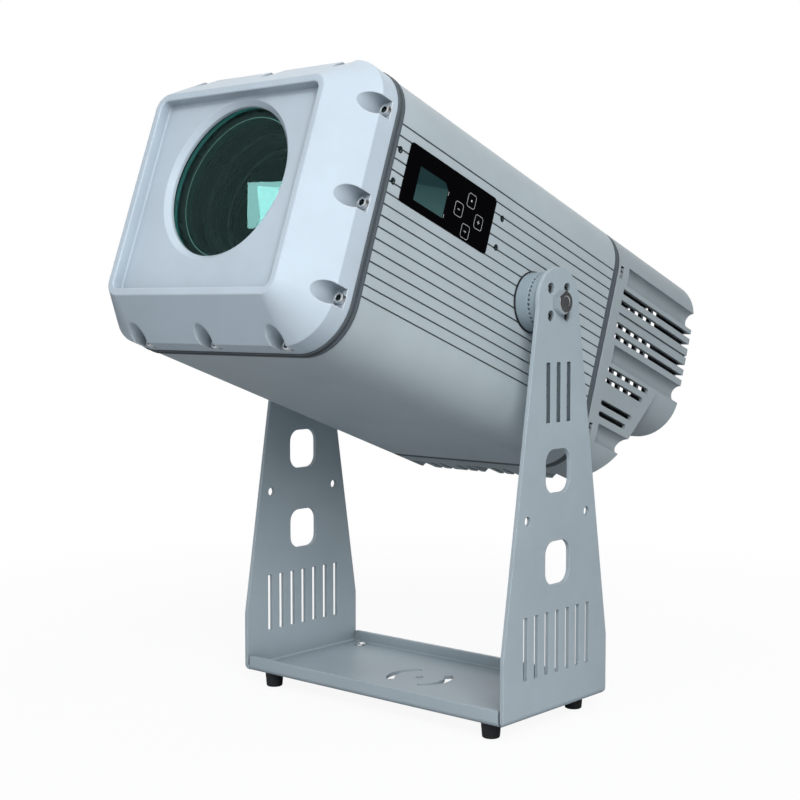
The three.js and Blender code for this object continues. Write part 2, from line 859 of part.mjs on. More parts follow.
/** The tube that slides in the barrel, with a shoulder behind its lens. */
function slidingTube() {
  const rear = tubeFront + focusTube.length;
  const shoulderEnd = shoulderPlace + focusTube.shoulder;
  const throat = tubeInner - focusTube.shoulder;
  return turnedAlongY(
    [
      [tubeInner, tubeFront],
      [tubeOuter, tubeFront],
      [tubeOuter, rear],
      [tubeInner, rear],
      [tubeInner, shoulderEnd],
      [throat, shoulderEnd],
      [throat, shoulderPlace],
      [tubeInner, shoulderPlace],
      [tubeInner, tubeFront],
    ],
    32,
    optics.rise,
  );
}

/** A round lens: a flat rear, a straight edge and a spherical front face. */
function convexLens(radius, edge, crown, back, segments) {
  const sphere = (radius * radius + crown * crown) / (crown + crown);
  const steps = 4;
  const half = Math.asin(radius / sphere);
  const profile = [[0, back - edge - crown]];
  for (let k = 1; k <= steps; k += 1) {
    const angle = (half * k) / steps;
    profile.push([sphere * Math.sin(angle), back - edge - crown + sphere * (1 - Math.cos(angle))]);
  }
  profile.push([radius, back], [0, back]);
  return turnedAlongY(profile, segments, optics.rise);
}

/** The lens that the focus tube carries, against the tube's shoulder. */
function focusGlass() {
  const back = shoulderPlace - fit.seat;
  return convexLens(tubeInner - fit.slide, focusLens.edge, focusLens.crown, back, 32);
}

/** The upright in the middle: the light's aperture, and the bore that holds the motor. */
function goboGate() {
  const aperture = throughPlate(gate.apertureRadius, gate.front, gate.plate, optics.rise, 12);
  const motorBore = throughPlate(gate.motorBore, gate.front, gate.plate, goboAxis, 10);
  return upright(gate.front, gate.plate, gate.top, [aperture, motorBore]);
}

/** The gobo wheel: a disc with four stepped seats, a hub, and the shaft that turns in the motor. */
function goboWheel() {
  const { front, thickness, radius } = wheel;
  const rear = front + thickness;
  const disc = alongY(circle(radius), front, rear, 16);
  const hub = alongY(circle(wheel.hubRadius), front - wheel.hubLength, rear, 8);
  const motorStart = gate.front + gate.plate;
  const shaft = alongY(circle(wheel.shaftRadius), front, motorStart + motor.length / 2, 5);
  const seats = goboPlaces().flatMap(([x, z]) => [
    alongY(circle(gobo.radius + fit.seat, x, z), front - fit.overrun, rear - gobo.lip, 8),
    alongY(circle(gobo.bore, x, z), front - fit.overrun, rear + fit.overrun, 8),
  ]);
  return union([disc, hub]).subtract(union(seats)).add(shaft).translate([0, 0, goboAxis]);
}

/** Places of the gobos round the wheel's own axis: [across, up]. */
function goboPlaces() {
  return Array.from({ length: gobo.count }, (unused, k) => {
    const angle = quarter + (k * (Math.PI + Math.PI)) / gobo.count;
    return [wheel.pitchRadius * Math.cos(angle), wheel.pitchRadius * Math.sin(angle)];
  });
}

/** One glass pattern disc in its seat. */
function goboDisc([x, z]) {
  const rear = wheel.front + wheel.thickness - gobo.lip - fit.seat;
  return alongY(circle(gobo.radius, x, z + goboAxis), rear - gobo.thickness, rear, 8);
}

/** The stepper motor behind the gate, with its pilot boss in the gate's bore. */
function goboMotor() {
  const start = gate.front + gate.plate + fit.seat;
  const half = motor.size / 2;
  const body = alongY(
    rectangle(-half, half, goboAxis - half, goboAxis + half, motor.corner),
    start,
    start + motor.length,
    2,
  );
  const boss = alongY(circle(motor.bossRadius, 0, goboAxis), start - motor.bossLength, start, 10);
  const shaftBore = alongY(
    circle(motor.shaftBore, 0, goboAxis),
    start - motor.bossLength - fit.overrun,
    start + motor.length / 2 + fit.seat,
    5,
  );
  return body.add(boss).subtract(shaftBore);
}

/** The condenser's holder: an upright with a stepped bore. */
function condenserHolder() {
  const { front, plate, radius, lip } = condenser;
  const opening = circle(radius + fit.seat, 0, optics.rise);
  const seat = alongY(opening, front - fit.overrun, front + plate - lip, 12);
  const light = throughPlate(radius - lip, front, plate, optics.rise, 12);
  return upright(front, plate, condenser.top, [seat, light]);
}

/** The lens that gathers the lamp's light. */
function condenserGlass() {
  const back = condenser.front + condenser.plate - condenser.lip - fit.seat;
  return convexLens(condenser.radius, condenser.edge, condenser.crown, back, 24);
}

/** The upright that carries the heat sink, open for the lamp. */
function lampPlate() {
  const half = lamp.window / 2;
  const window = alongY(
    rectangle(-half, half, optics.rise - half, optics.rise + half),
    lamp.front - fit.overrun,
    lamp.front + lamp.plate + fit.overrun,
  );
  return upright(lamp.front, lamp.plate, lamp.top, [window]);
}

const sinkFront = lamp.front + lamp.plate + fit.seat;

/** The light source: a square base on the heat sink and a low round emitter. */
function lampModule() {
  const half = lamp.base / 2;
  const back = sinkFront - fit.seat;
  const base = alongY(
    rectangle(-half, half, optics.rise - half, optics.rise + half),
    back - lamp.baseThickness,
    back,
  );
  const front = back - lamp.baseThickness;
  return base.add(alongY(circle(lamp.domeRadius, 0, optics.rise), front - lamp.domeHeight, front, 10));
}

/** The heat sink: a base plate with upright fins behind it, drawn as one comb and extruded upwards. */
function heatSink() {
  const half = sink.width / 2;
  const base = rectangle(-half, half, sinkFront, sinkFront + sink.base);
  const pitch = (sink.width - sink.finThickness) / (sink.fins - 1);
  const comb = new THREE.Shape();
  comb.moveTo(-half, sinkFront).lineTo(half, sinkFront);
  for (const place of row(sink.fins, pitch).reverse()) {
    comb.lineTo(place + sink.finThickness / 2, sinkFront + sink.base);
    comb.lineTo(place + sink.finThickness / 2, sinkFront + sink.base + sink.finLength);
    comb.lineTo(place - sink.finThickness / 2, sinkFront + sink.base + sink.finLength);
    comb.lineTo(place - sink.finThickness / 2, sinkFront + sink.base);
  }
  return alongZ(base, optics.rise - half, optics.rise + half).add(
    alongZ(comb, optics.rise - half, optics.rise + half),
  );
}

// Fan, and the plate that closes the housing's rear end

const fanRear = fan.place + fan.depth;

/** The fan's frame: a square duct with a motor hub on four struts at its rear. */
function fanFrame() {
  const half = fan.size / 2;
  const duct = alongY(rectangle(-half, half, -half, half, fan.corner), fan.place, fanRear, 2);
  const bore = alongY(circle(fan.boreRadius), fan.place - fit.overrun, fanRear + fit.overrun, 18);
  const hubFront = fanRear - fan.motorPlate;
  const hub = alongY(circle(fan.hubRadius), hubFront, fanRear, 10);
  const pin = alongY(circle(fan.pinRadius), fan.place + fan.motorPlate, fanRear, 5);
  const reach = fan.boreRadius + fit.seat;
  const strut = alongY(
    rectangle(-reach, reach, -fan.strutWidth / 2, fan.strutWidth / 2),
    hubFront,
    fanRear,
  );
  const motorMount = union([hub, pin, strut, strut.rotate([0, 90, 0])]);
  return duct.subtract(bore).add(motorMount).translate([0, 0, optics.rise]);
}

/** The fan's rotor: a hub cup on the frame's pin, with seven pitched blades. */
function fanRotor() {
  const start = fan.place + fan.motorPlate / 2;
  const end = fanRear - fan.motorPlate - fan.motorPlate / 2;
  const hub = alongY(circle(fan.hubRadius), start, end, 10);
  const boreStart = start + fan.motorPlate / 4;
  const pinBore = alongY(circle(fan.pinRadius + fit.seat), boreStart, end + fit.overrun, 5);
  const middle = (start + end) / 2;
  const blades = Array.from({ length: fan.blades }, (unused, k) => {
    const length = fan.bladeReach - fan.hubRadius / 2;
    const blade = new THREE.BoxGeometry(fan.bladeThickness, fan.bladeDepth, length);
    blade.rotateZ(THREE.MathUtils.degToRad(fan.bladePitchDegrees));
    blade.translate(0, middle, (fan.bladeReach + fan.hubRadius / 2) / 2);
    blade.rotateY((k * (Math.PI + Math.PI)) / fan.blades);
    return solid(blade);
  });
  const sweep = alongY(circle(fan.bladeReach), start, end, 16);
  return union(blades).intersect(sweep).add(hub).subtract(pinBore).translate([0, 0, optics.rise]);
}

/** The plate inside the housing's rear end, open for the fan's air. */
function closingPlate() {
  const start = fanRear + fit.seat;
  const portDepth = screwPorts.inset + screwPorts.radius + fit.seat;
  const outline = withHole(headOutline(-portDepth), circle(rearPlate.ventRadius, 0, optics.rise));
  return alongY(outline, start, start + rearPlate.thickness, 5);
}

/** The lamp driver, on the screw port that runs along the middle of the left-hand wall. */
function lampDriver() {
  const wallFace = -head.halfWidth + screwPorts.inset + screwPorts.radius + fit.seat;
  const shape = rectangle(
    wallFace,
    wallFace + driver.thickness,
    driver.bottom,
    driver.bottom + driver.height,
    driver.edge,
  );
  return alongY(shape, driver.front, driver.front + driver.length, 2);
}

// Control panel, its display and the board behind them

/** The panel's overlay plate with the display's window. */
function controlPanel() {
  const outer = head.halfWidth + panel.proud;
  const window = rectangle(
    display.front - fit.seat,
    display.rear + fit.seat,
    display.bottom - fit.seat,
    display.top + fit.seat,
  );
  const slab = panelOpening(fit.seat).intersect(
    alongX(rectangle(panel.front, panel.rear, panel.bottom, panel.top), outer - panel.thickness, outer),
  );
  return slab.subtract(alongX(window, outer - panel.thickness - fit.overrun, outer + fit.overrun));
}

/** The display: a glass in the panel's window on a wider back that seats behind the panel. */
function displayModule() {
  const outer = head.halfWidth + panel.proud - fit.seat;
  const backFace = head.halfWidth + panel.proud - panel.thickness - fit.seat;
  const glass = alongX(
    rectangle(display.front, display.rear, display.bottom, display.top),
    backFace - display.back,
    outer,
  );
  const back = alongX(
    rectangle(
      display.front - display.border,
      display.rear + display.border,
      display.bottom - display.border,
      display.top + display.border,
    ),
    backFace - display.back,
    backFace,
  );
  return glass.add(back);
}

/** The control board, on four posts against the back of the panel. */
function controlBoard() {
  const panelBack = head.halfWidth + panel.proud - panel.thickness - fit.seat;
  const boardFace = panelBack - board.standoff;
  const front = panel.front + board.inset;
  const rear = panel.rear - board.inset;
  const bottom = panel.bottom + board.inset / 2;
  const top = panel.top - board.inset / 2;
  const plate = alongX(rectangle(front, rear, bottom, top), boardFace - board.thickness, boardFace);
  const posts = [front + board.postInset / 2, rear - board.postInset].flatMap((y) =>
    [bottom + board.postInset / 2, top - board.postInset / 2].map((z) =>
      alongX(circle(board.postRadius, y, z), boardFace - board.thickness / 2, panelBack, 4),
    ),
  );
  return plate.add(union(posts));
}

// Rear cover: a cast shell, slanted off below, with a block, screw scoops and cooling slots

/** Where the slanted end cuts the cover's length at the given rise. */
function slantAt(rise) {
  return cover.slantPlace + cover.slantRunPerDropShare * (rise - cover.slantRise);
}

/** The cover's form, drawn in by an inset all round; its open front end runs on by the lead. */
function coverForm(inset, lead) {
  const rear = coverRear - inset;
  const front = coverFront - lead;
  const low = sectionBottom - fit.overrun;
  // the slanted face moves in square to itself
  const slide = inset * Math.hypot(1, cover.slantRunPerDropShare);
  const side = new THREE.Shape();
  side.moveTo(front, low);
  side.lineTo(slantAt(low) - slide, low);
  side.lineTo(slantAt(cover.slantRise) - slide, cover.slantRise);
  side.lineTo(rear, cover.slantRise);
  side.lineTo(rear, sectionTop);
  side.lineTo(front, sectionTop);
  const reach = head.halfWidth + fit.overrun;
  const body = alongY(headOutline(-inset), front, rear, 4).intersect(alongX(side, -reach, reach));
  const block = new THREE.Shape();
  const bottom = cover.blockBottom + inset;
  const x = head.halfWidth - inset;
  const corner = cover.blockCorner - inset;
  block.moveTo(-x, 0).lineTo(-x, bottom + corner);
  block.absarc(-x + corner, bottom + corner, corner, Math.PI, Math.PI + quarter);
  block.absarc(x - corner, bottom + corner, corner, -quarter, 0);
  block.lineTo(x, 0);
  return body.add(alongY(block, slantAt(cover.blockBottom) - slide - cover.blockCorner, rear, 4));
}

/** The scoops along the cover's outside, one behind each screw, at a given radius. */
function coverScoops(radius, front) {
  return screwPlaces.map(([x, z]) => {
    const onSide = Math.abs(x) > screwPorts.edgePitch;
    const across = onSide ? Math.sign(x) * head.halfWidth : x;
    const up = onSide ? z : Math.sign(z) * head.halfHeight - head.middleDrop;
    return alongY(circle(radius, across, up), front, coverRear + fit.overrun, 6);
  });
}

/** One cooling slot through a side wall. */
function sideSlot(side, rise, end, closed) {
  const outer = head.halfWidth + fit.overrun;
  const inner = head.halfWidth - sideSlots.depth;
  const half = sideSlots.height / 2;
  const front = coverFront + sideSlots.front;
  const shape = rectangle(front, end, rise - half, rise + half, closed ? half : 0);
  return side > 0 ? alongX(shape, inner, outer, 2) : alongX(shape, -outer, -inner, 2);
}

/** The rows of side slots: open at the rear edge above the slant, closed short of it below. */
function sideSlotCuts() {
  const cuts = [];
  for (let k = 0; k < sideSlots.rows; k += 1) {
    const rise = sideSlots.top - k * sideSlots.pitch;
    const closed = rise < cover.slantRise;
    const end = closed ? slantAt(rise) - sideSlots.endMargin : coverRear + fit.overrun;
    if (!sideSlots.webRows.includes(k)) {
      cuts.push(sideSlot(-1, rise, end, closed), sideSlot(1, rise, end, closed));
    }
  }
  return cuts;
}

/** The slots of the top and the underside, in pairs between the scoops. */
function edgeSlotCuts() {
  const half = edgeSlots.width / 2;
  const front = coverFront + edgeSlots.front;
  const middles = edgeSlots.pairPlaces.flatMap((place) => [-place, place]);
  const places = middles.flatMap((middle) =>
    row(edgeSlots.perPair, edgeSlots.pitch).map((place) => middle + place),
  );
  return places.flatMap((place) => {
    const above = rectangle(place - half, place + half, front, coverRear - cover.wall - half);
    const below = rectangle(place - half, place + half, front, coverRear + fit.overrun);
    return [
      alongZ(above, sectionTop - cover.wall - cover.wall, sectionTop + fit.overrun),
      alongZ(below, sectionBottom - fit.overrun, sectionBottom + cover.wall + cover.wall),
    ];
  });
}

/** The upright slots of the rear face. */
function rearSlotCuts() {
  const half = rearSlots.width / 2;
  return row(rearSlots.count, rearSlots.pitch).map((place) =>
    alongY(
      rectangle(place - half, place + half, rearSlots.bottom, rearSlots.top),
      coverRear - cover.wall - fit.overrun,
      coverRear + fit.overrun,
    ),
  );
}

/** The notches in the flange beside the outer screws of each side. */
function flangeNotches() {
  const start = coverFront + cover.notchFront;
  const inner = head.halfWidth - cover.notchDepth;
  const outer = head.halfWidth + fit.overrun;
  return [-1, 1].flatMap((step) => {
    const middle = -head.middleDrop + step * screwPorts.sidePitch;
    const half = cover.notchWidth / 2;
    const shape = rectangle(start, start + cover.notchLength, middle - half, middle + half);
    return [alongX(shape, inner, outer), alongX(shape, -outer, -inner)];
  });
}

/** Turns a body drawn along Y so that it stands square on the slanted face, at the gland's rise. */
function onSlant(body) {
  const lean = THREE.MathUtils.radToDeg(Math.atan(cover.slantRunPerDropShare));
  return body.rotate([-lean, 0, 0]).translate([0, slantAt(gland.rise), gland.rise]);
}

/** The rear cover: an even wall, scoops over the screws, cooling slots and the gland's hole. */
function rearCover() {
  const scoopFront = coverFront + cover.grooveFront;
  const shellWalls = coverScoops(cover.grooveRadius + cover.wall, scoopFront - cover.wall);
  const hollow = coverForm(cover.wall, fit.overrun).subtract(union(shellWalls));
  const glandHole = onSlant(alongY(circle(gland.holeRadius), -cover.wall - fit.overrun, fit.overrun, 8));
  const cuts = [
    hollow,
    glandHole,
    ...coverScoops(cover.grooveRadius, scoopFront),
    ...sideSlotCuts(),
    ...edgeSlotCuts(),
    ...rearSlotCuts(),
    ...flangeNotches(),
  ];
  return coverForm(0, 0).subtract(union(cuts));
}

/** The cable gland, with no cable in it: a thread through the wall, a hexagon and a dome nut. */
function cableGland() {
  const hex = alongY(hexagon(gland.hexFlats), fit.seat, fit.seat + gland.hexLength);
  const dome = turnedAlongY(
    [
      [0, -gland.inside],
      [gland.threadRadius, -gland.inside],
      [gland.threadRadius, fit.seat],
      [gland.domeRadius, fit.seat],
      [gland.domeRadius, gland.domeLength],
      [gland.domeRadius - gland.cableRadius / 2, gland.domeLength + gland.cableRadius],
      [0, gland.domeLength + gland.cableRadius],
    ],
    20,
  );
  const end = gland.domeLength + gland.cableRadius;
  const cableBore = alongY(circle(gland.cableRadius), -gland.inside - fit.overrun, end + fit.overrun, 5);
  return onSlant(dome.add(hex).subtract(cableBore));
}

// Assembly

const projector = new THREE.Group();
const standGroup = new THREE.Group();
standGroup.position.z = foot.height + fit.seat;
projector.add(standGroup);

standGroup.add(piece("stand_bracket", standBracket(), finish.paint()));
for (const [name, [x, y]] of Object.entries(footPlaces())) {
  const footMesh = piece(`rubber_foot_${name}`, rubberFoot(), finish.rubber());
  footMesh.position.set(x, y, -foot.height - fit.seat);
  const screwMesh = piece(`foot_screw_${name}`, domeScrew(), finish.steel());
  screwMesh.position.set(x, y, stand.sheet + fit.seat);
  standGroup.add(footMesh, screwMesh);
}

const pivotGroup = new THREE.Group();
pivotGroup.position.z = stand.pivotRise;
standGroup.add(pivotGroup);

const headGroup = new THREE.Group();
headGroup.position.z = pivotHeight;
headGroup.rotation.x = -THREE.MathUtils.degToRad(head.pitchDegrees);
projector.add(headGroup);

for (const [side, isLeft] of [["right", false], ["left", true]]) {
  const place = (body) => (isLeft ? body.mirror([1, 0, 0]) : body);
  pivotGroup.add(piece(`arm_disc_${side}`, place(armDisc()), finish.paint()));
  pivotGroup.add(piece(`clamp_bolt_${side}`, place(clampBolt()), finish.steel()));
  headGroup.add(piece(`head_disc_${side}`, place(headDisc()), finish.paint()));
}

headGroup.add(
  piece("housing", housingTube(), finish.paint()),
  piece("front_gasket", frontGasket(), finish.seal()),
  piece("front_bezel", frontBezel(), finish.frontPaint()),
  piece("front_glass", windowGlass(), finish.glass()),
  piece("glass_ring", retainingRing(), finish.blackMetal()),
  piece("rear_gasket", rearGasket(), finish.seal()),
  piece("rear_cover", rearCover(), finish.paint()),
  piece("cable_gland", cableGland(), finish.blackPlastic()),
  piece("control_panel", controlPanel(), finish.blackPlastic()),
  piece("display", displayModule(), finish.screen()),
  piece("control_board", controlBoard(), finish.circuit()),
  piece("optical_bench", opticalBench(), finish.aluminium()),
  piece("barrel_plate", barrelPlate(), finish.aluminium()),
  piece("lens_barrel", lensBarrel(), finish.blackMetal()),
  piece("focus_tube", slidingTube(), finish.blackMetal()),
  piece("focus_lens", focusGlass(), finish.glass()),
  piece("gobo_gate", goboGate(), finish.aluminium()),
  piece("gobo_motor", goboMotor(), finish.blackMetal()),
  piece("gobo_wheel", goboWheel(), finish.blackMetal()),
  piece("condenser_holder", condenserHolder(), finish.aluminium()),
  piece("condenser_lens", condenserGlass(), finish.glass()),
  piece("lamp_plate", lampPlate(), finish.aluminium()),
  piece("lamp_module", lampModule(), finish.emitter()),
  piece("heat_sink", heatSink(), finish.aluminium()),
  piece("fan_frame", fanFrame(), finish.blackPlastic()),
  piece("fan_rotor", fanRotor(), finish.blackPlastic()),
  piece("closing_plate", closingPlate(), finish.aluminium()),
  piece("lamp_driver", lampDriver(), finish.aluminium()),
);
screwPlaces.forEach((place, index) => {
  headGroup.add(piece(`bezel_screw_${index + 1}`, capScrew(place), finish.steel()));
});
goboPlaces().forEach((place, index) => {
  headGroup.add(piece(`gobo_${index + 1}`, goboDisc(place), finish.glass()));
});

// The part's origin is the middle of its footprint, so the whole is centred along its length
projector.updateMatrixWorld(true);
const outline = new THREE.Box3().setFromObject(projector, true);
projector.position.y = -(outline.min.y + outline.max.y) / 2;
projector.updateMatrixWorld(true);

export default projector;
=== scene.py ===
"""Outdoor gobo projector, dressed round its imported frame.

Every mesh is drawn in millimetres, in the frame of the head or of the stand, and then placed in
the frame's metres. The head's frame has its origin on the tilt axis: X across, Y along the head
towards its rear and Z up, before the head is pitched. The stand's frame has its origin on the
underside of the tray, below the tilt axis.
"""

import json
import logging
import math
from collections.abc import Callable, Iterable, Sequence
from dataclasses import dataclass, field
from enum import Enum

import bmesh
import bpy
from mathutils import Matrix, Vector
from mathutils.bvhtree import BVHTree

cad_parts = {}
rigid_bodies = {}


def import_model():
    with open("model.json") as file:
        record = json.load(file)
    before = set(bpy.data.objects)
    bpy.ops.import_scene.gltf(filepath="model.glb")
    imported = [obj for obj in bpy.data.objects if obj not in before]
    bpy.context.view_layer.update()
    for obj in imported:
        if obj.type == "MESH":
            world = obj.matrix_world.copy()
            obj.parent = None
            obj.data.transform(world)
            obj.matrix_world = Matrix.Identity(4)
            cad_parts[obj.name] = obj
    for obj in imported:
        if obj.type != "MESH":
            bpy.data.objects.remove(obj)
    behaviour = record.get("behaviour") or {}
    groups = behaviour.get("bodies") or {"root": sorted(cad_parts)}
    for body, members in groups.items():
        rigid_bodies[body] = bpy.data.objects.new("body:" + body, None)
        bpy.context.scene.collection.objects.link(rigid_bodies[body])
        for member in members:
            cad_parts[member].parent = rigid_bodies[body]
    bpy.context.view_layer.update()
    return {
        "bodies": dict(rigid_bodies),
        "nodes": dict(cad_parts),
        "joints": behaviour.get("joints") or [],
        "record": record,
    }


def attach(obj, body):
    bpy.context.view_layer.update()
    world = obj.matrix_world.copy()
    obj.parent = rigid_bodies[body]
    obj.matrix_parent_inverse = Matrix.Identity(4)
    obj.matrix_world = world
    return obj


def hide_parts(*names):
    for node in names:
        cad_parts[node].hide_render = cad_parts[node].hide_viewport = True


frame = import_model()

Point = tuple[float, float]
Point3 = tuple[float, float, float]
Colour = tuple[float, float, float]
Box = tuple[float, float, float, float]
Loop = list[Vector]
Link = bpy.types.NodeSocket
Node = bpy.types.Node
NodeTree = bpy.types.NodeTree
Mesh = bpy.types.Mesh
Material = bpy.types.Material
Object = bpy.types.Object
Builder = Callable[[], NodeTree]
Inside = Callable[[Vector, Vector], bool]

log = logging.getLogger("projector")

MM = 0.001
MERGE_MM = 1e-5
MERGE_METRES = 1e-6
QUARTER = math.pi / 2
TURN = math.tau
# The face mark of screw sockets, painted dark as shade.
SOCKET_SHADE = "socket"


class Body(Enum):
    """The bodies that a piece can ride on."""

    STAND = "stand"
    HEAD = "head"
    FOCUS = "focus"


class Slot(Enum):
    """The record's material slots."""

    BODY = "body_paint"
    BEZEL = "bezel_paint"
    STAND = "stand_paint"
    FOOT = "foot_rubber"
    SEAL = "seal_rubber"
    STEEL = "steel"
    ALUMINIUM = "bare_aluminium"
    BLACK_METAL = "black_metal"
    BLACK_PLASTIC = "black_plastic"
    PANEL = "panel_gloss"
    SCREEN = "screen"
    GLASS = "optical_glass"
    CIRCUIT = "circuit_board"
    LAMP = "lamp_source"


class Axis(Enum):
    """The direction that a prism is drawn along, and the plane of its outline."""

    X = "x"
    Y = "y"
    Z = "z"


class Cut(Enum):
    """What one solid does to another."""

    AWAY = "DIFFERENCE"
    JOIN = "UNION"
    COMMON = "INTERSECT"


# Outlines


def arc(centre: Point, radius: float, start: float, end: float, steps: int) -> list[Point]:
    """Points of an arc, both ends included.

    Args:
        centre: The arc's centre.
        radius: Its radius.
        start: The first point's angle.
        end: The last point's angle.
        steps: How many chords the arc has.

    Returns:
        The points in order.
    """
    angles = [start + (end - start) * k / steps for k in range(steps + 1)]
    return [(centre[0] + radius * math.cos(a), centre[1] + radius * math.sin(a)) for a in angles]


def circle(radius: float, centre: Point = (0.0, 0.0), steps: int = 48) -> list[Point]:
    """Points of a full circle.

    Args:
        radius: Its radius.
        centre: Its centre.
        steps: How many points it has.

    Returns:
        The points, without a repeated last one.
    """
    return arc(centre, radius, 0.0, TURN, steps)[:-1]


def hexagon(flats: float) -> list[Point]:
    """Corners of a hexagon by its width across the flats."""
    sides = 6
    return circle(flats / 2 / math.cos(math.pi / sides), steps=sides)


def rounded(left: float, right: float, low: float, high: float, radius: float, steps: int = 6) -> list[Point]:
    """A rectangle with round corners.

    Args:
        left: The lowest first coordinate.
        right: The highest first coordinate.
        low: The lowest second coordinate.
        high: The highest second coordinate.
        radius: The corners' radius; zero leaves them sharp.
        steps: Chords in each corner.

    Returns:
        The points, anticlockwise from the right-hand top corner.
    """
    if radius <= 0:
        return [(right, high), (left, high), (left, low), (right, low)]
    centres = [
        (right - radius, high - radius),
        (left + radius, high - radius),
        (left + radius, low + radius),
        (right - radius, low + radius),
    ]
    points: list[Point] = []
    for k, centre in enumerate(centres):
        points += arc(centre, radius, k * QUARTER, (k + 1) * QUARTER, steps)
    return points


def filleted(corners: Sequence[tuple[float, ...]], steps: int = 4) -> list[Point]:
    """An open line whose inner corners are rounded.

    Args:
        corners: The corners of the line: two coordinates and, for a round corner, its radius.
        steps: Chords in each fillet.

    Returns:
        The line's points.
    """
    points = [corner[:2] for corner in corners]
    line = [points[0]]
    for before, here, after, given in zip(points, points[1:], points[2:], corners[1:]):
        if len(given) < 3:
            line.append(here)
            continue
        radius = given[2]
        corner = Vector(here)
        one = (Vector(before) - corner).normalized()
        other = (Vector(after) - corner).normalized()
        half = one.angle(other) / 2
        centre = corner + (one + other).normalized() * (radius / math.sin(half))
        first = corner + one * (radius / math.tan(half)) - centre
        last = corner + other * (radius / math.tan(half)) - centre
        for k in range(steps + 1):
            spoke = first.slerp(last, k / steps) * radius
            line.append(tuple(centre + spoke))
    line.append(points[-1])
    return line


# Solids


def lofted(rings: Sequence[Sequence[Vector]], closed: bool = False) -> Mesh:
    """A solid through rings that have the same number of points.

    Args:
        rings: The rings in order.
        closed: Whether the last ring joins the first, as on a tube's wall; otherwise both ends
            are capped.

    Returns:
        The mesh, with its faces pointing out.
    """
    shape = bmesh.new()
    rows = [[shape.verts.new(point) for point in ring] for ring in rings]
    pairs = list(zip(rows, rows[1:]))
    if closed:
        pairs.append((rows[-1], rows[0]))
    for near, far in pairs:
        for k, vertex in enumerate(near):
            after = (k + 1) % len(near)
            shape.faces.new((vertex, near[after], far[after], far[k]))
    if not closed:
        shape.faces.new(rows[0])
        shape.faces.new(list(reversed(rows[-1])))
    return meshed(shape)


def meshed(shape: bmesh.types.BMesh) -> Mesh:
    """Merges a shape's doubles, turns its faces out and makes it a mesh."""
    bmesh.ops.remove_doubles(shape, verts=shape.verts, dist=MERGE_MM)
    bmesh.ops.recalc_face_normals(shape, faces=shape.faces)
    mesh = bpy.data.meshes.new("shape")
    shape.to_mesh(mesh)
    shape.free()
    return mesh


def lifted(point: Point, place: float, axis: Axis) -> Vector:
    """A point of an outline's plane, set at a place along the axis."""
    first, second = point
    if axis is Axis.X:
        return Vector((place, first, second))
    if axis is Axis.Y:
        return Vector((first, place, second))
    return Vector((first, second, place))


def prism(outline: Sequence[Point], start: float, end: float, axis: Axis) -> Mesh:
    """An outline drawn out along an axis.

    Args:
        outline: The closed outline.
        start: Where it starts along the axis.
        end: Where it ends.
        axis: The axis.

    Returns:
        The solid.
    """
    return lofted([[lifted(p, place, axis) for p in outline] for place in (start, end)])


def lathed(profile: Sequence[Point], steps: int = 72, closed: bool = False) -> Mesh:
    """A profile of (radius, place) points turned about Z.

    Args:
        profile: The points; an open profile starts and ends on the axis or is capped flat.
        steps: Points round each ring.
        closed: Whether the profile closes on itself.

    Returns:
        The solid.
    """
    circles = [(circle(radius, steps=steps), place) for radius, place in profile]
    return lofted([[lifted(p, place, Axis.Z) for p in ring] for ring, place in circles], closed)


def collar(corners: Sequence[tuple[float, ...]], steps: int = 96, chords: int = 3) -> Mesh:
    """A ring about Z, from the corners of its section.

    Args:
        corners: The corners, as `filleted` takes them.
        steps: Points round the ring.
        chords: Chords in each fillet.

    Returns:
        The solid.
    """
    return lathed(filleted(corners, chords), steps, closed=True)


def joined(meshes: Iterable[Mesh]) -> Mesh:
    """Several meshes as the loose parts of one."""
    shape = bmesh.new()
    for mesh in meshes:
        shape.from_mesh(mesh)
        bpy.data.meshes.remove(mesh)
    mesh = bpy.data.meshes.new("shape")
    shape.to_mesh(mesh)
    shape.free()
    return mesh


def evaluated(thing: Object) -> Mesh:
    """The mesh that an object's modifiers give; the object is removed."""
    graph = bpy.context.evaluated_depsgraph_get()
    result = bpy.data.meshes.new_from_object(thing.evaluated_get(graph), depsgraph=graph)
    bpy.data.objects.remove(thing)
    return result


def shown(mesh: Mesh, name: str = "work") -> Object:
    """A mesh as an object in the scene."""
    thing = bpy.data.objects.new(name, mesh)
    bpy.context.scene.collection.objects.link(thing)
    return thing


def combined(base: Mesh, others: Iterable[Mesh], how: Cut) -> Mesh:
    """A solid with others cut from it, joined to it or kept in common with it.

    Args:
        base: The solid that is worked on.
        others: The solids that work on it, one after another.
        how: What they do.

    Returns:
        The resulting mesh.
    """
    target = shown(base)
    tools = [shown(mesh) for mesh in others]
    for tool in tools:
        step = target.modifiers.new(how.value, "BOOLEAN")
        step.operation = how.value
        step.solver = "MANIFOLD"
        step.object = tool
    result = evaluated(target)
    for tool in tools:
        bpy.data.objects.remove(tool)
    return result


def softened(mesh: Mesh, width: float, degrees: float = 40.0, segments: int = 2) -> Mesh:
    """A mesh whose sharp edges are rounded.

    Args:
        mesh: The mesh.
        width: The bevel's width.
        degrees: Edges that turn more than this are rounded.
        segments: Steps in each rounding.

    Returns:
        The rounded mesh.
    """
    thing = shown(mesh)
    bevel = thing.modifiers.new("Edges", "BEVEL")
    bevel.width = width
    bevel.segments = segments
    bevel.limit_method = "ANGLE"
    bevel.angle_limit = math.radians(degrees)
    bevel.miter_outer = "MITER_ARC"
    return evaluated(thing)


def evened(mesh: Mesh) -> Mesh:
    """The same mesh with normals weighted by area, so that flat faces stay flat beside roundings."""
    thing = shown(mesh)
    weighted = thing.modifiers.new("Normals", "WEIGHTED_NORMAL")
    weighted.keep_sharp = True
    return evaluated(thing)


# The two frames that pieces are drawn in

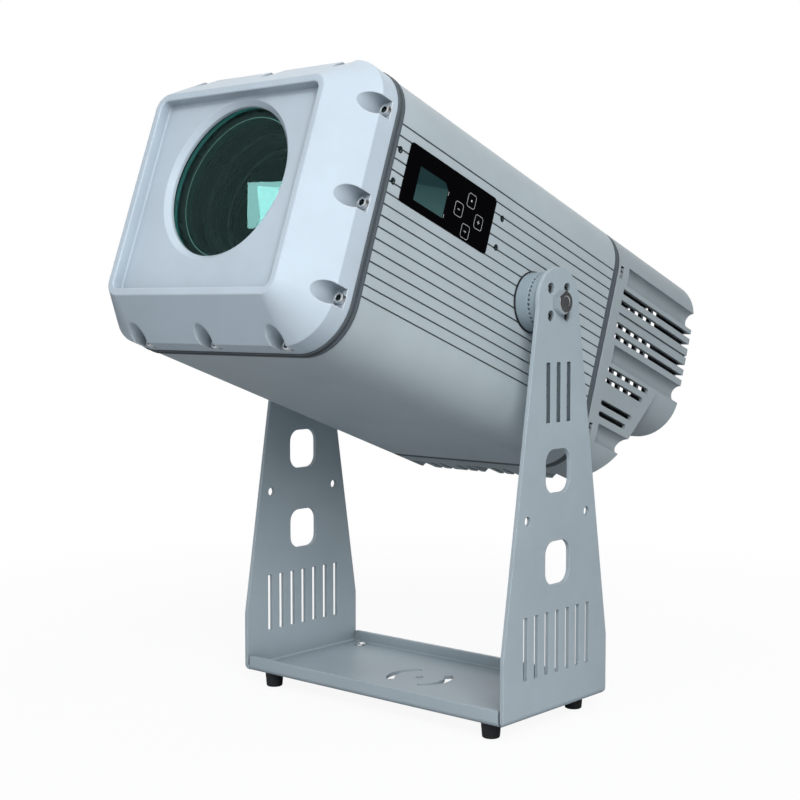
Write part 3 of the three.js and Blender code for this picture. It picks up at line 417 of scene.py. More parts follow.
HEAD_PITCH = math.radians(19.72)
FOOT_HEIGHT = 15.3
SEAT = 0.3
UP: Point3 = (0, 0, 1)


def tilt_axis_place() -> Vector:
    """The place of the tilt axis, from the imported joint."""
    tilt = next(joint for joint in frame["joints"] if joint["name"] == "head_tilt")
    return Vector(tilt["pos_m"])


PIVOT = tilt_axis_place()
HEAD_FRAME = Matrix.Translation(PIVOT) @ Matrix.Rotation(-HEAD_PITCH, 4, "X") @ Matrix.Scale(MM, 4)
STAND_FRAME = Matrix.Translation((0, PIVOT.y, FOOT_HEIGHT * MM)) @ Matrix.Scale(MM, 4)
PIVOT_FRAME = Matrix.Translation(PIVOT) @ Matrix.Scale(MM, 4)
ALONG_HEAD = Matrix.Rotation(-QUARTER, 4, "X")
TO_RIGHT = Matrix.Rotation(QUARTER, 4, "Y")
TO_LEFT = Matrix.Rotation(-QUARTER, 4, "Y")


# Node trees

NUMBER = "NodeSocketFloat"
WHOLE = "NodeSocketInt"
VECTOR = "NodeSocketVector"
GEOMETRY = "NodeSocketGeometry"


class Tree:
    """Short words for making nodes and links in one node tree."""

    def __init__(self, tree: NodeTree) -> None:
        """Keeps the tree that nodes are added to."""
        self.tree = tree

    def node(self, kind: str, **settings: object) -> Node:
        """Adds a node.

        Args:
            kind: The node's type.
            settings: Its properties by name.

        Returns:
            The node.
        """
        made = self.tree.nodes.new(kind)
        for key, value in settings.items():
            setattr(made, key, value)
        return made

    def put(self, value: object, socket: Link) -> None:
        """Links an output to an input, or sets the input; a colour is given as three numbers."""
        if isinstance(value, Link):
            self.tree.links.new(value, socket)
        elif isinstance(value, tuple):
            socket.default_value = (*value, 1.0)
        else:
            socket.default_value = value

    def feed(self, node: Node, **values: object) -> Node:
        """Sets or links a node's inputs; a socket's spaces are written as underscores.

        Args:
            node: The node.
            values: A value or an output socket for each input.

        Returns:
            The same node.
        """
        for key, value in values.items():
            name = key.replace("_", " ").lower()
            self.put(value, next(s for s in node.inputs if s.name.lower() == name and s.enabled))
        return node

    def maths(self, operation: str, first: object, second: object = 0.0) -> Link:
        """The output of a Math node."""
        node = self.node("ShaderNodeMath", operation=operation)
        self.put(first, node.inputs[0])
        self.put(second, node.inputs[1])
        return node.outputs[0]

    def vectors(self, operation: str, first: object, second: object) -> Node:
        """A Vector Math node."""
        node = self.node("ShaderNodeVectorMath", operation=operation)
        self.put(first, node.inputs[0])
        self.put(second, node.inputs[1])
        return node

    def mixed(self, share: object, first: object, second: object) -> Link:
        """The colour output of a Mix node."""
        node = self.node("ShaderNodeMix", data_type="RGBA")
        sockets = (node.inputs["Factor"], node.inputs[6], node.inputs[7])
        for value, socket in zip((share, first, second), sockets):
            self.put(value, socket)
        return node.outputs[2]

    def ranged(self, value: Link, low: float, high: float, first: float = 0.0, last: float = 1.0) -> Link:
        """The value, moved from one range to another and held inside it."""
        node = self.node("ShaderNodeMapRange", clamp=True)
        self.feed(node, Value=value, From_Min=low, From_Max=high, To_Min=first, To_Max=last)
        return node.outputs[0]

    def place(self) -> Link:
        """The object's own coordinates."""
        return self.node("ShaderNodeTexCoord").outputs["Object"]

    def noise(self, scale: object, detail: float, roughness: float = 0.5) -> Link:
        """Noise on the object's own coordinates."""
        node = self.feed(self.node("ShaderNodeTexNoise"), Vector=self.place(), Scale=scale)
        return self.feed(node, Detail=detail, Roughness=roughness).outputs["Fac"]


class Group(Tree):
    """A node group with named sockets."""

    def __init__(self, kind: str, name: str, inputs: dict[str, float | str], outputs: dict[str, str]) -> None:
        """Makes the group and its sockets.

        Args:
            kind: The tree's type.
            name: The group's name.
            inputs: For each input, its value where it is a number, or else its socket type.
            outputs: The socket type of each output.
        """
        super().__init__(bpy.data.node_groups.new(name, kind))
        for label, given in inputs.items():
            is_value = isinstance(given, float)
            socket_type = NUMBER if is_value else given
            socket = self.tree.interface.new_socket(label, in_out="INPUT", socket_type=socket_type)
            if is_value:
                socket.default_value = given
        for label, socket_type in outputs.items():
            self.tree.interface.new_socket(label, in_out="OUTPUT", socket_type=socket_type)
        self.given = self.node("NodeGroupInput").outputs

    def finished(self, **results: Link) -> NodeTree:
        """Links the group's outputs and gives its tree."""
        self.feed(self.node("NodeGroupOutput"), **results)
        return self.tree


def shared(build: Builder) -> NodeTree:
    """The group that a function of the same name builds, which is built only once."""
    return bpy.data.node_groups.get(build.__name__) or build()


def coat_skin() -> NodeTree:
    """The skin of a coating: fine grain, slow mottling, a mask of rounded edges, and a mask of hollows from
    ambient occlusion, where painted shade goes.
    """
    outputs = {"Grain": NUMBER, "Mottle": NUMBER, "Edge": NUMBER, "Hollow": NUMBER, "Normal": VECTOR}
    inputs = {"Grain Scale": 1400.0, "Mottle Scale": 14.0, "Edge Radius": 0.0006}
    tree = Group("ShaderNodeTree", "coat_skin", inputs, outputs)
    bevel = tree.feed(tree.node("ShaderNodeBevel", samples=6), Radius=tree.given["Edge Radius"])
    rounded_normal = bevel.outputs["Normal"]
    facing = tree.vectors("DOT_PRODUCT", rounded_normal, tree.node("ShaderNodeNewGeometry").outputs["Normal"])
    bend = tree.maths("SUBTRACT", 1.0, facing.outputs["Value"])
    slight_bend, full_bend = 0.02, 0.25
    # Ambient occlusion finds the hollows, which the coating darkens as painted shade.
    near = tree.feed(tree.node("ShaderNodeAmbientOcclusion", samples=4, only_local=True), Distance=0.03)
    hidden, open_share = 0.25, 0.85
    return tree.finished(
        Grain=tree.noise(tree.given["Grain Scale"], 3.0, 0.6),
        Mottle=tree.noise(tree.given["Mottle Scale"], 4.0, 0.65),
        Edge=tree.ranged(bend, slight_bend, full_bend),
        Hollow=tree.ranged(near.outputs["AO"], hidden, open_share, 1.0, 0.0),
        Normal=rounded_normal,
    )


def machined_lines() -> NodeTree:
    """Fine parallel lines, as machining or drawing leaves on metal."""
    inputs = {"Line Scale": 2500.0, "Stretch": 40.0}
    tree = Group("ShaderNodeTree", "machined_lines", inputs, {"Lines": NUMBER})
    spread = tree.node("ShaderNodeVectorMath", operation="SCALE")
    tree.feed(spread, Vector=tree.place(), Scale=tree.given["Line Scale"])
    parts = tree.feed(tree.node("ShaderNodeSeparateXYZ"), Vector=spread.outputs[0]).outputs
    along = tree.maths("DIVIDE", parts["X"], tree.given["Stretch"])
    together = tree.feed(tree.node("ShaderNodeCombineXYZ"), X=along, Y=parts["Y"], Z=parts["Z"])
    noise = tree.feed(tree.node("ShaderNodeTexNoise"), Vector=together.outputs[0], Scale=1.0, Detail=2.0)
    return tree.finished(Lines=noise.outputs["Fac"])


class Surface(Tree):
    """One material with its shader, on which a finish is built."""

    def __init__(self, name: str) -> None:
        """Makes the material, its Principled shader and its output."""
        self.material = bpy.data.materials.new(name)
        self.material.use_nodes = True
        super().__init__(self.material.node_tree)
        self.tree.nodes.clear()
        self.shader = self.node("ShaderNodeBsdfPrincipled")
        self.output = self.feed(self.node("ShaderNodeOutputMaterial"), Surface=self.shader.outputs[0])

    def set(self, **values: object) -> None:
        """Sets or links the shader's inputs."""
        self.feed(self.shader, **values)

    def group(self, build: Builder, **values: float) -> bpy.types.NodeOutputs:
        """Places a shared group with this material's own values and gives its outputs."""
        return self.feed(self.node("ShaderNodeGroup", node_tree=shared(build)), **values).outputs

    def bumped(self, height: Link, strength: float, distance: float, **normal: Link) -> None:
        """Feeds a height, and a normal if one is given, to the shader's normal."""
        bump = self.feed(self.node("ShaderNodeBump"), Height=height, Strength=strength, Distance=distance)
        self.set(Normal=self.feed(bump, **normal).outputs["Normal"])


# Finishes


def toned(colour: Colour, factor: float) -> Colour:
    """A colour made paler or deeper by a factor."""
    return tuple(c * factor for c in colour)


@dataclass(frozen=True)
class Finish:
    """A material that is described by a few values."""

    name: str

    def material(self) -> Material:
        """Builds the material.

        Returns:
            The material.
        """
        surface = Surface(self.name)
        self.lay_on(surface)
        return surface.material

    def lay_on(self, surface: Surface) -> None:
        """Builds the finish on its surface, each kind in its own way."""
        raise NotImplementedError


@dataclass(frozen=True)
class Coating(Finish):
    """A sprayed or moulded finish: fine grain, soft mottling, edges paled partly for wear and partly as
    painted highlight, and painted shade in hollows.
    """

    colour: Colour
    rough: float
    grain_scale: float = 1400.0
    grain_depth: float = 0.00002
    grain_strength: float = 0.35
    mottle_scale: float = 9.0
    mottle_share: float = 0.06
    edge_radius: float = 0.0005
    # How pale rounded edges turn: partly wear, partly painted highlight.
    edge_share: float = 0.18
    specular: float = 0.5
    # How far hollows are darkened as painted shade.
    hollow_share: float = 0.5

    def lay_on(self, surface: Surface) -> None:
        """Mixes the tones of the skin's masks and feeds its grain to roughness and normal."""
        radius = self.edge_radius
        scales = {"Grain_Scale": self.grain_scale, "Mottle_Scale": self.mottle_scale}
        skin = surface.group(coat_skin, Edge_Radius=radius, **scales)
        pale = toned(self.colour, 1 + self.mottle_share)
        deep = toned(self.colour, 1 - self.mottle_share)
        # Painted shade: the darker tone that hollows take.
        hollow_shade = toned(self.colour, 1 - self.hollow_share)
        # Pale edges: partly wear, partly painted highlight.
        wear_and_highlight = tuple(c + (1 - c) * self.edge_share for c in self.colour)
        body = surface.mixed(surface.ranged(skin["Mottle"], 0.3, 0.7), deep, pale)
        body = surface.mixed(skin["Hollow"], body, hollow_shade)
        broken = surface.ranged(skin["Grain"], 0.35, 0.6, 0.4, 1.0)
        edge = surface.maths("MULTIPLY", skin["Edge"], broken)
        rough = surface.ranged(skin["Grain"], 0.3, 0.7, self.rough - 0.05, self.rough + 0.06)
        surface.set(Base_Color=surface.mixed(edge, body, wear_and_highlight), Roughness=rough)
        surface.set(Specular_IOR_Level=self.specular)
        surface.bumped(skin["Grain"], self.grain_strength, self.grain_depth, Normal=skin["Normal"])


@dataclass(frozen=True)
class Metal(Finish):
    """A bare metal with fine machined lines and small tone changes."""

    colour: Colour
    rough: float
    line_scale: float = 2500.0
    stretch: float = 30.0
    line_depth: float = 0.000006
    deep_share: float = 0.82

    def lay_on(self, surface: Surface) -> None:
        """Mixes two tones and feeds the lines to roughness and normal."""
        lines = surface.group(machined_lines, Line_Scale=self.line_scale, Stretch=self.stretch)["Lines"]
        skin = surface.group(coat_skin, Grain_Scale=900.0, Mottle_Scale=30.0, Edge_Radius=0.0003)
        deep = toned(self.colour, self.deep_share)
        body = surface.mixed(surface.ranged(skin["Mottle"], 0.3, 0.7), deep, self.colour)
        rough = surface.ranged(lines, 0.3, 0.7, self.rough - 0.06, self.rough + 0.1)
        surface.set(Base_Color=body, Metallic=1.0, Roughness=rough)
        surface.bumped(lines, 0.4, self.line_depth, Normal=skin["Normal"])


@dataclass(frozen=True)
class Glass(Finish):
    """Coated optical glass: clear, with a coloured reflection."""

    body: Colour
    sheen: Colour
    ior: float = 1.45

    def lay_on(self, surface: Surface) -> None:
        """Colours what passes and what is mirrored, with a faint smear between them."""
        smear = surface.ranged(surface.noise(60.0, 3.0), 0.3, 0.8, 0.0, 0.15)
        surface.set(Base_Color=surface.mixed(smear, self.body, self.sheen), Specular_Tint=self.sheen)
        surface.set(Roughness=0.0, IOR=self.ior, Transmission_Weight=1.0)


@dataclass(frozen=True)
class Screen(Finish):
    """The display: a dark liquid crystal behind glass, with a painted reflection that makes its field paler
    below a diagonal.
    """

    dark: Colour
    # The pale tone is a painted reflection, below the diagonal.
    pale: Colour
    edge_place: Vector
    edge_facing: Vector

    def lay_on(self, surface: Surface) -> None:
        """Mixes the crystal's dark tone and the painted reflection's pale tone across the diagonal, with a
        fine pattern of pixels.
        """
        offset = surface.vectors("SUBTRACT", surface.place(), self.edge_place).outputs[0]
        side = surface.vectors("DOT_PRODUCT", offset, self.edge_facing).outputs["Value"]
        edge = 0.0004
        fade_run = 0.03
        reflection_share = surface.ranged(side, -edge, edge)
        fade = surface.ranged(side, 0.0, fade_run, 0.35, 1.0)
        pixels = surface.ranged(surface.noise(2200.0, 1.0), 0.35, 0.65, 0.9, 1.0)
        reflection_weight = surface.maths("MULTIPLY", surface.maths("MULTIPLY", reflection_share, fade), pixels)
        surface.set(Base_Color=surface.mixed(reflection_weight, self.dark, self.pale), Roughness=0.08)
        surface.bumped(surface.noise(300.0, 2.0), 0.05, 0.00001)


@dataclass(frozen=True)
class Circuit(Finish):
    """A circuit board's green mask with darker tracks."""

    mask: Colour = (0.015, 0.09, 0.035)
    track: Colour = (0.05, 0.2, 0.08)

    def lay_on(self, surface: Surface) -> None:
        """Draws the tracks along the edges of square cells."""
        cells = surface.node("ShaderNodeTexVoronoi", distance="CHEBYCHEV", feature="DISTANCE_TO_EDGE")
        surface.feed(cells, Vector=surface.place(), Scale=260.0)
        tracks = surface.ranged(cells.outputs["Distance"], 0.04, 0.1)
        surface.set(Base_Color=surface.mixed(tracks, self.track, self.mask), Roughness=0.35)
        surface.bumped(tracks, 0.3, 0.00003)


@dataclass(frozen=True)
class Lamp(Finish):
    """The light source's yellow phosphor with its fine dots."""

    phosphor: Colour = (0.75, 0.62, 0.1)
    dot: Colour = (0.85, 0.75, 0.2)

    def lay_on(self, surface: Surface) -> None:
        """Mixes the two yellows by fine noise."""
        dots = surface.ranged(surface.noise(1800.0, 2.0), 0.35, 0.65)
        surface.set(Base_Color=surface.mixed(dots, self.phosphor, self.dot), Roughness=0.5)
        surface.bumped(dots, 0.2, 0.00002)


PAINT: Colour = (0.448, 0.515, 0.547)
STAND_PAINT: Colour = (0.39, 0.46, 0.505)
BEZEL_PAINT: Colour = (0.52, 0.607, 0.685)
FINE_LINES = 0.0000004
FINE_GRAIN = 2200.0
FILM_GRAIN = 2600.0

FINISHES: dict[Slot, Finish] = {
    Slot.BODY: Coating("powder_coat", PAINT, 0.42, grain_strength=0.2),
    # The stand's pale edges are partly painted highlight, a thin bright line along the arms' edges.
    Slot.STAND: Coating(
        "stand_powder_coat", STAND_PAINT, 0.44, grain_strength=0.15, edge_radius=0.0007, edge_share=0.5
    ),
    # The bezel's broad pale edges are painted highlights along its rims and scoops.
    Slot.BEZEL: Coating(
        "casting_paint",
        BEZEL_PAINT,
        0.34,
        grain_scale=900.0,
        grain_strength=0.12,
        edge_radius=0.0015,
        edge_share=0.9,
    ),
    Slot.FOOT: Coating(
        "foot_rubber", (0.01, 0.011, 0.013), 0.62, FINE_GRAIN, grain_strength=0.6, edge_share=0.04
    ),
    Slot.SEAL: Coating(
        "seal_rubber", (0.088, 0.107, 0.12), 0.6, FINE_GRAIN, grain_strength=0.5, edge_share=0.06
    ),
    Slot.STEEL: Metal("zinc_steel", (0.86, 0.87, 0.88), 0.17, line_depth=FINE_LINES),
    Slot.ALUMINIUM: Metal("mill_aluminium", (0.7, 0.71, 0.72), 0.38, line_scale=1200.0),
    # The black metal's pale edges are painted highlights on its rims.
    Slot.BLACK_METAL: Coating(
        "black_anodised",
        (0.004, 0.012, 0.014),
        0.4,
        grain_strength=0.0,
        specular=0.1,
        edge_share=0.3,
        hollow_share=0.0,
    ),
    Slot.BLACK_PLASTIC: Coating("black_plastic", (0.014, 0.015, 0.016), 0.45, 1800.0, edge_share=0.05),
    Slot.PANEL: Coating(
        "panel_overlay",
        (0.0015, 0.0015, 0.002),
        0.2,
        FILM_GRAIN,
        grain_strength=0.1,
        edge_share=0.02,
        specular=0.07,
    ),
    Slot.GLASS: Glass("optical_glass", (0.68, 0.82, 0.8), (0.22, 0.9, 0.84), ior=1.32),
    Slot.CIRCUIT: Circuit("solder_mask"),
    Slot.LAMP: Lamp("phosphor"),
}


# Geometry Nodes


class Repeats(Group):
    """A geometry tree that sets copies of one part on points."""

    def __init__(self, name: str, numbers: dict[str, str]) -> None:
        """Makes the tree with inputs for the part, the finish and the given numbers."""
        inputs = {"Geometry": GEOMETRY, "Part": "NodeSocketObject", **numbers, "Finish": "NodeSocketMaterial"}
        super().__init__("GeometryNodeTree", name, inputs, {"Geometry": GEOMETRY})

    def turn(self, angle: Link) -> Link:
        """A turn about Z."""
        return self.feed(self.node("ShaderNodeCombineXYZ"), Z=angle).outputs[0]

    def copies(self, points: Link, **turned: Link) -> Link:
        """The part on every point, with its own rotation where one is given."""
        part = self.node("GeometryNodeObjectInfo", transform_space="ORIGINAL")
        shape = self.feed(part, Object=self.given["Part"]).outputs["Geometry"]
        node = self.node("GeometryNodeInstanceOnPoints")
        return self.feed(node, Points=points, Instance=shape, **turned).outputs[0]

    def carried(self, copies: Link) -> Link:
        """The copies, joined to the geometry that carries them."""
        both = self.node("GeometryNodeJoinGeometry")
        self.put(self.given["Geometry"], both.inputs[0])
        self.put(copies, both.inputs[0])
        return both.outputs[0]

    def dressed(self, geometry: Link) -> NodeTree:
        """Ends the tree with real geometry in the given finish."""
        real = self.feed(self.node("GeometryNodeRealizeInstances"), Geometry=geometry).outputs[0]
        coloured = self.node("GeometryNodeSetMaterial")
        self.feed(coloured, Geometry=real, Material=self.given["Finish"])
        return self.finished(Geometry=coloured.outputs[0])


def parts_on_points() -> NodeTree:
    """Copies of one part on every point, each facing as its point says and spun by chance."""
    tree = Repeats("parts_on_points", {"Spin": NUMBER, "Seed": WHOLE})
    facing = tree.feed(tree.node("GeometryNodeInputNamedAttribute", data_type="FLOAT_VECTOR"), Name="facing")
    turned = tree.node("FunctionNodeAlignRotationToVector", axis="Z")
    tree.feed(turned, Vector=facing.outputs["Attribute"])
    copies = tree.copies(tree.given["Geometry"], Rotation=turned.outputs[0])
    chance = tree.node("FunctionNodeRandomValue", data_type="FLOAT")
    tree.put(tree.given["Spin"], chance.inputs[3])
    tree.put(tree.given["Seed"], chance.inputs["Seed"])
    spun = tree.node("GeometryNodeRotateInstances")
    tree.feed(spun, Instances=copies, Rotation=tree.turn(chance.outputs[1]))
    return tree.dressed(spun.outputs[0])


def parts_in_ring() -> NodeTree:
    """Copies of one part round the Z axis at even steps, each turned with its place."""
    tree = Repeats("parts_in_ring", {"Count": WHOLE, "Radius": NUMBER})
    count = tree.given["Count"]
    ring = tree.feed(tree.node("GeometryNodeMeshCircle"), Vertices=count, Radius=tree.given["Radius"])
    step = tree.maths("DIVIDE", TURN, count)
    angle = tree.maths("MULTIPLY", tree.node("GeometryNodeInputIndex").outputs[0], step)
    return tree.dressed(tree.carried(tree.copies(ring.outputs["Mesh"], Rotation=tree.turn(angle))))


def parts_in_row() -> NodeTree:
    """Copies of one part in an even row along X, centred, joined to what carries them."""
    tree = Repeats("parts_in_row", {"Count": WHOLE, "Pitch": NUMBER})
    count = tree.given["Count"]
    pitch = tree.given["Pitch"]
    length = tree.maths("MULTIPLY", tree.maths("SUBTRACT", count, 1.0), pitch)
    first = tree.feed(tree.node("ShaderNodeCombineXYZ"), X=tree.maths("MULTIPLY", length, -0.5))
    step = tree.feed(tree.node("ShaderNodeCombineXYZ"), X=pitch)
    line = tree.node("GeometryNodeMeshLine", mode="OFFSET")
    tree.put(count, line.inputs["Count"])
    tree.put(first.outputs[0], line.inputs["Start Location"])
    tree.put(step.outputs[0], line.inputs["Offset"])
    return tree.dressed(tree.carried(tree.copies(line.outputs["Mesh"])))


def smooth_facets() -> NodeTree:
    """Merges a faceted solid's points and smooths all but its sharp edges."""
    inputs = {"Geometry": GEOMETRY, "Sharp Angle": NUMBER}
    tree = Group("GeometryNodeTree", "smooth_facets", inputs, {"Geometry": GEOMETRY})
    merged = tree.node("GeometryNodeMergeByDistance")
    tree.feed(merged, Geometry=tree.given["Geometry"], Distance=MERGE_METRES)
    faces = tree.node("GeometryNodeSetShadeSmooth", domain="FACE")
    tree.feed(faces, Geometry=merged.outputs[0], Shade_Smooth=True)
    sharp = tree.node("FunctionNodeCompare", data_type="FLOAT", operation="GREATER_THAN")
    tree.put(tree.node("GeometryNodeInputMeshEdgeAngle").outputs["Unsigned Angle"], sharp.inputs[0])
    tree.put(tree.given["Sharp Angle"], sharp.inputs[1])
    edges = tree.node("GeometryNodeSetShadeSmooth", domain="EDGE")
    tree.feed(edges, Geometry=faces.outputs[0], Selection=sharp.outputs[0], Shade_Smooth=False)
    return tree.finished(Geometry=edges.outputs[0])


def with_nodes(thing: Object, build: Builder, **values: object) -> None:
    """Gives an object a modifier with one of the trees.

    Args:
        thing: The object.
        build: The function that builds the tree.
        values: The tree's inputs, with underscores for spaces.
    """
    group = shared(build)
    modifier = thing.modifiers.new("Nodes", "NODES")
    modifier.node_group = group
    for label, value in values.items():
        modifier[group.interface.items_tree[label.replace("_", " ")].identifier] = value


def grown(mesh: Mesh, build: Builder, part: Mesh, **values: object) -> Mesh:
    """The mesh that one of the trees makes from a base and a part.

    Args:
        mesh: The base geometry.
        build: The function that builds the tree.
        part: The part that is repeated.
        values: The tree's further inputs, with underscores for spaces.

    Returns:
        The plain mesh.
    """
    pattern = shown(part, "part")
    thing = shown(mesh)
    with_nodes(thing, build, Part=pattern, **values)
    result = evaluated(thing)
    bpy.data.objects.remove(pattern)
    return result


def set_out(
    part: Mesh,
    places: Sequence[Vector],
    facing: Point3,
    spin: float,
    seed: int,
    finish: Material,
) -> Mesh:
    """One part at several places.

    Args:
        part: The part, along Z.
        places: Where it is repeated.
        facing: The direction that each copy's Z is turned to.
        spin: The most that a copy is spun by chance.
        seed: The seed of the chance.
        finish: The copies' material.

    Returns:
        The plain mesh.
    """
    mesh = bpy.data.meshes.new("points")
    mesh.from_pydata([tuple(p) for p in places], [], [])
    attribute = mesh.attributes.new("facing", "FLOAT_VECTOR", "POINT")
    attribute.data.foreach_set("vector", [*facing] * len(places))
    return grown(mesh, parts_on_points, part, Spin=spin, Seed=seed, Finish=finish)


# The bench on which pieces are finished

SMOOTH_DEGREES = 32.0


@dataclass(frozen=True)
class Seat:
    """The frame that a piece is drawn in, and the body that it rides on."""

    place: Matrix
    body: Body


ON_STAND = Seat(STAND_FRAME, Body.STAND)
ON_HEAD = Seat(HEAD_FRAME, Body.HEAD)


@dataclass
class Bench:
    """Gives each piece its finish, its body and its place, and reports it."""

    materials: dict[Slot, Material] = field(default_factory=dict)

    def material(self, slot: Slot) -> Material:
        """The material of a slot, built the first time it is asked for."""
        if slot not in self.materials:
            self.materials[slot] = FINISHES[slot].material()
        return self.materials[slot]

    def piece(
        self,
        name: str,
        mesh: Mesh,
        seat: Seat,
        slot: Slot,
        stands_for: Sequence[str] = (),
        smooth_degrees: float = SMOOTH_DEGREES,
        material: Material | None = None,
        lining: tuple[Material, Inside] | None = None,
    ) -> Object:
        """Finishes one piece.

        Args:
            name: The piece's name.
            mesh: Its mesh in millimetres, in its own frame.
            seat: The frame that it was drawn in and the body that it rides on.
            slot: The record's slot that its finish comes from.
            stands_for: The frame's nodes that it replaces.
            smooth_degrees: Edges that turn less than this are smooth.
            material: A finish of its own, where it isn't the slot's.
            lining: A second finish, and the test that says which faces have it.

        Returns:
            The finished object.
        """
        mesh.materials.clear()
        mesh.materials.append(material or self.material(slot))
        mesh.polygons.foreach_set("material_index", [0] * len(mesh.polygons))
        sockets = mesh.attributes.get(SOCKET_SHADE)
        # A second finish paints shade, reflections and glints on the faces that its test picks.
        if lining is not None:
            mesh.materials.append(lining[0])
            for face in mesh.polygons:
                face.material_index = int(lining[1](face.center, face.normal))
        # Painted shade: the faces inside a screw's socket take the black metal.
        elif sockets is not None:
            mesh.materials.append(self.material(Slot.BLACK_METAL))
            mesh.polygons.foreach_set("material_index", [int(mark.value) for mark in sockets.data])
            mesh.attributes.remove(sockets)
        mesh.transform(seat.place)
        mesh.name = name
        mesh.polygons.foreach_set("use_smooth", [True] * len(mesh.polygons))
        mesh.set_sharp_from_angle(angle=math.radians(smooth_degrees))
        piece = shown(evened(mesh), name)
        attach(piece, seat.body.value)
        if stands_for:
            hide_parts(*stands_for)
        log.info("%s: %d faces on %s", name, len(mesh.polygons), seat.body.value)
        return piece

    def dress(self, node: str, slot: Slot, material: Material | None = None) -> None:
        """Gives a node that keeps its own shape a finish and smooth facets.

        Args:
            node: The node's name.
            slot: The slot that its finish comes from.
            material: A finish of its own, where it isn't the slot's.
        """
        thing = frame["nodes"][node]
        thing.data.materials.clear()
        thing.data.materials.append(material or self.material(slot))
        with_nodes(thing, smooth_facets, Sharp_Angle=math.radians(SMOOTH_DEGREES))
        log.info("%s: dressed as %s", node, slot.value)


class Assembly:
    """A group of pieces with its own sizes."""

    def build(self, bench: Bench) -> None:
        """Makes the pieces.

        Args:
            bench: Where they are finished.
        """
        raise NotImplementedError


# The head's section and the places along it


@dataclass(frozen=True)
class Section:
    """The rounded outline that the housing and both end covers share, and its screw places."""

    half_width: float = 134.3
    half_height: float = 125.35
    drop: float = 1.45
    corner: float = 44.7
    corner_steps: int = 12
    side_steps: int = 6
    port_inset: float = 4.3
    side_pitch: float = 81.0
    edge_pitch: float = 85.5

    @property
    def top(self) -> float:
        """The highest point."""
        return self.half_height - self.drop

    @property
    def low(self) -> float:
        """The lowest point."""
        return -self.half_height - self.drop

    def outline(self, growth: float = 0.0) -> list[Point]:
        """The outline, grown all round, with points along its straight sides too.

        Args:
            growth: How far it is grown; a negative value draws it in.

        Returns:
            The points, anticlockwise from the right-hand end of the top corner.
        """
        radius = self.corner + growth
        corners = rounded(
            -self.half_width - growth,
            self.half_width + growth,
            self.low - growth,
            self.top + growth,
            radius,
            self.corner_steps,
        )
        points: list[Point] = []
        per_corner = self.corner_steps + 1
        for k in range(4):
            points += corners[k * per_corner : (k + 1) * per_corner]
            last = Vector(points[-1])
            after = Vector(corners[((k + 1) * per_corner) % len(corners)])
            points += [tuple(last.lerp(after, s / self.side_steps)) for s in range(1, self.side_steps)]
        return points

    def ring(self, growth: float, place: float) -> Loop:
        """The outline as a ring across the head."""
        return [lifted(p, place, Axis.Y) for p in self.outline(growth)]

    def round_ring(self, radius: float, rise: float, place: float) -> Loop:
        """A circle whose points match the outline's, for lofting one into the other."""
        count = 4 * (self.corner_steps + self.side_steps)
        first = QUARTER / 2 - self.corner_steps / 2 * TURN / count
        points = arc((0.0, rise), radius, first, first + TURN, count)[:-1]
        return [lifted(p, place, Axis.Y) for p in points]

    def screws(self) -> list[Point]:
        """Where screws run along the head: three in each side, the top and the underside."""
        places: list[Point] = []
        for side, edge in ((-1, self.low + self.port_inset), (1, self.top - self.port_inset)):
            across = side * (self.half_width - self.port_inset)
            for step in (-1, 0, 1):
                places += [(across, step * self.side_pitch - self.drop), (step * self.edge_pitch, edge)]
        return places

    def bored(self, radius: float, start: float, end: float, steps: int = 16) -> list[Mesh]:
        """A round cutter along the head at every screw."""
        return [prism(circle(radius, place, steps), start, end, Axis.Y) for place in self.screws()]


SECTION = Section()
HEAD_SIDE = SECTION.half_width + SEAT
ARM_OUTER = 165.0
HOUSING_FRONT = -219.5
HOUSING_REAR = 118.0
SEAL_DEPTH = 9.0
BEZEL_BACK = HOUSING_FRONT - SEAL_DEPTH - SEAT
COVER_FRONT = HOUSING_REAR + SEAL_DEPTH + SEAT
PANEL_BOX: Box = (-204.0, -80.0, 15.0, 68.0)
SCREW_BORE = 3.3
END_GAP = 0.05
OVERRUN = 6.0
LENS_RISE = 11.5
OPTICAL_AXIS = HEAD_FRAME @ Matrix.Translation((0, 0, LENS_RISE)) @ ALONG_HEAD
ON_AXIS = Seat(OPTICAL_AXIS, Body.HEAD)
IN_FOCUS = Seat(OPTICAL_AXIS, Body.FOCUS)


# Stand


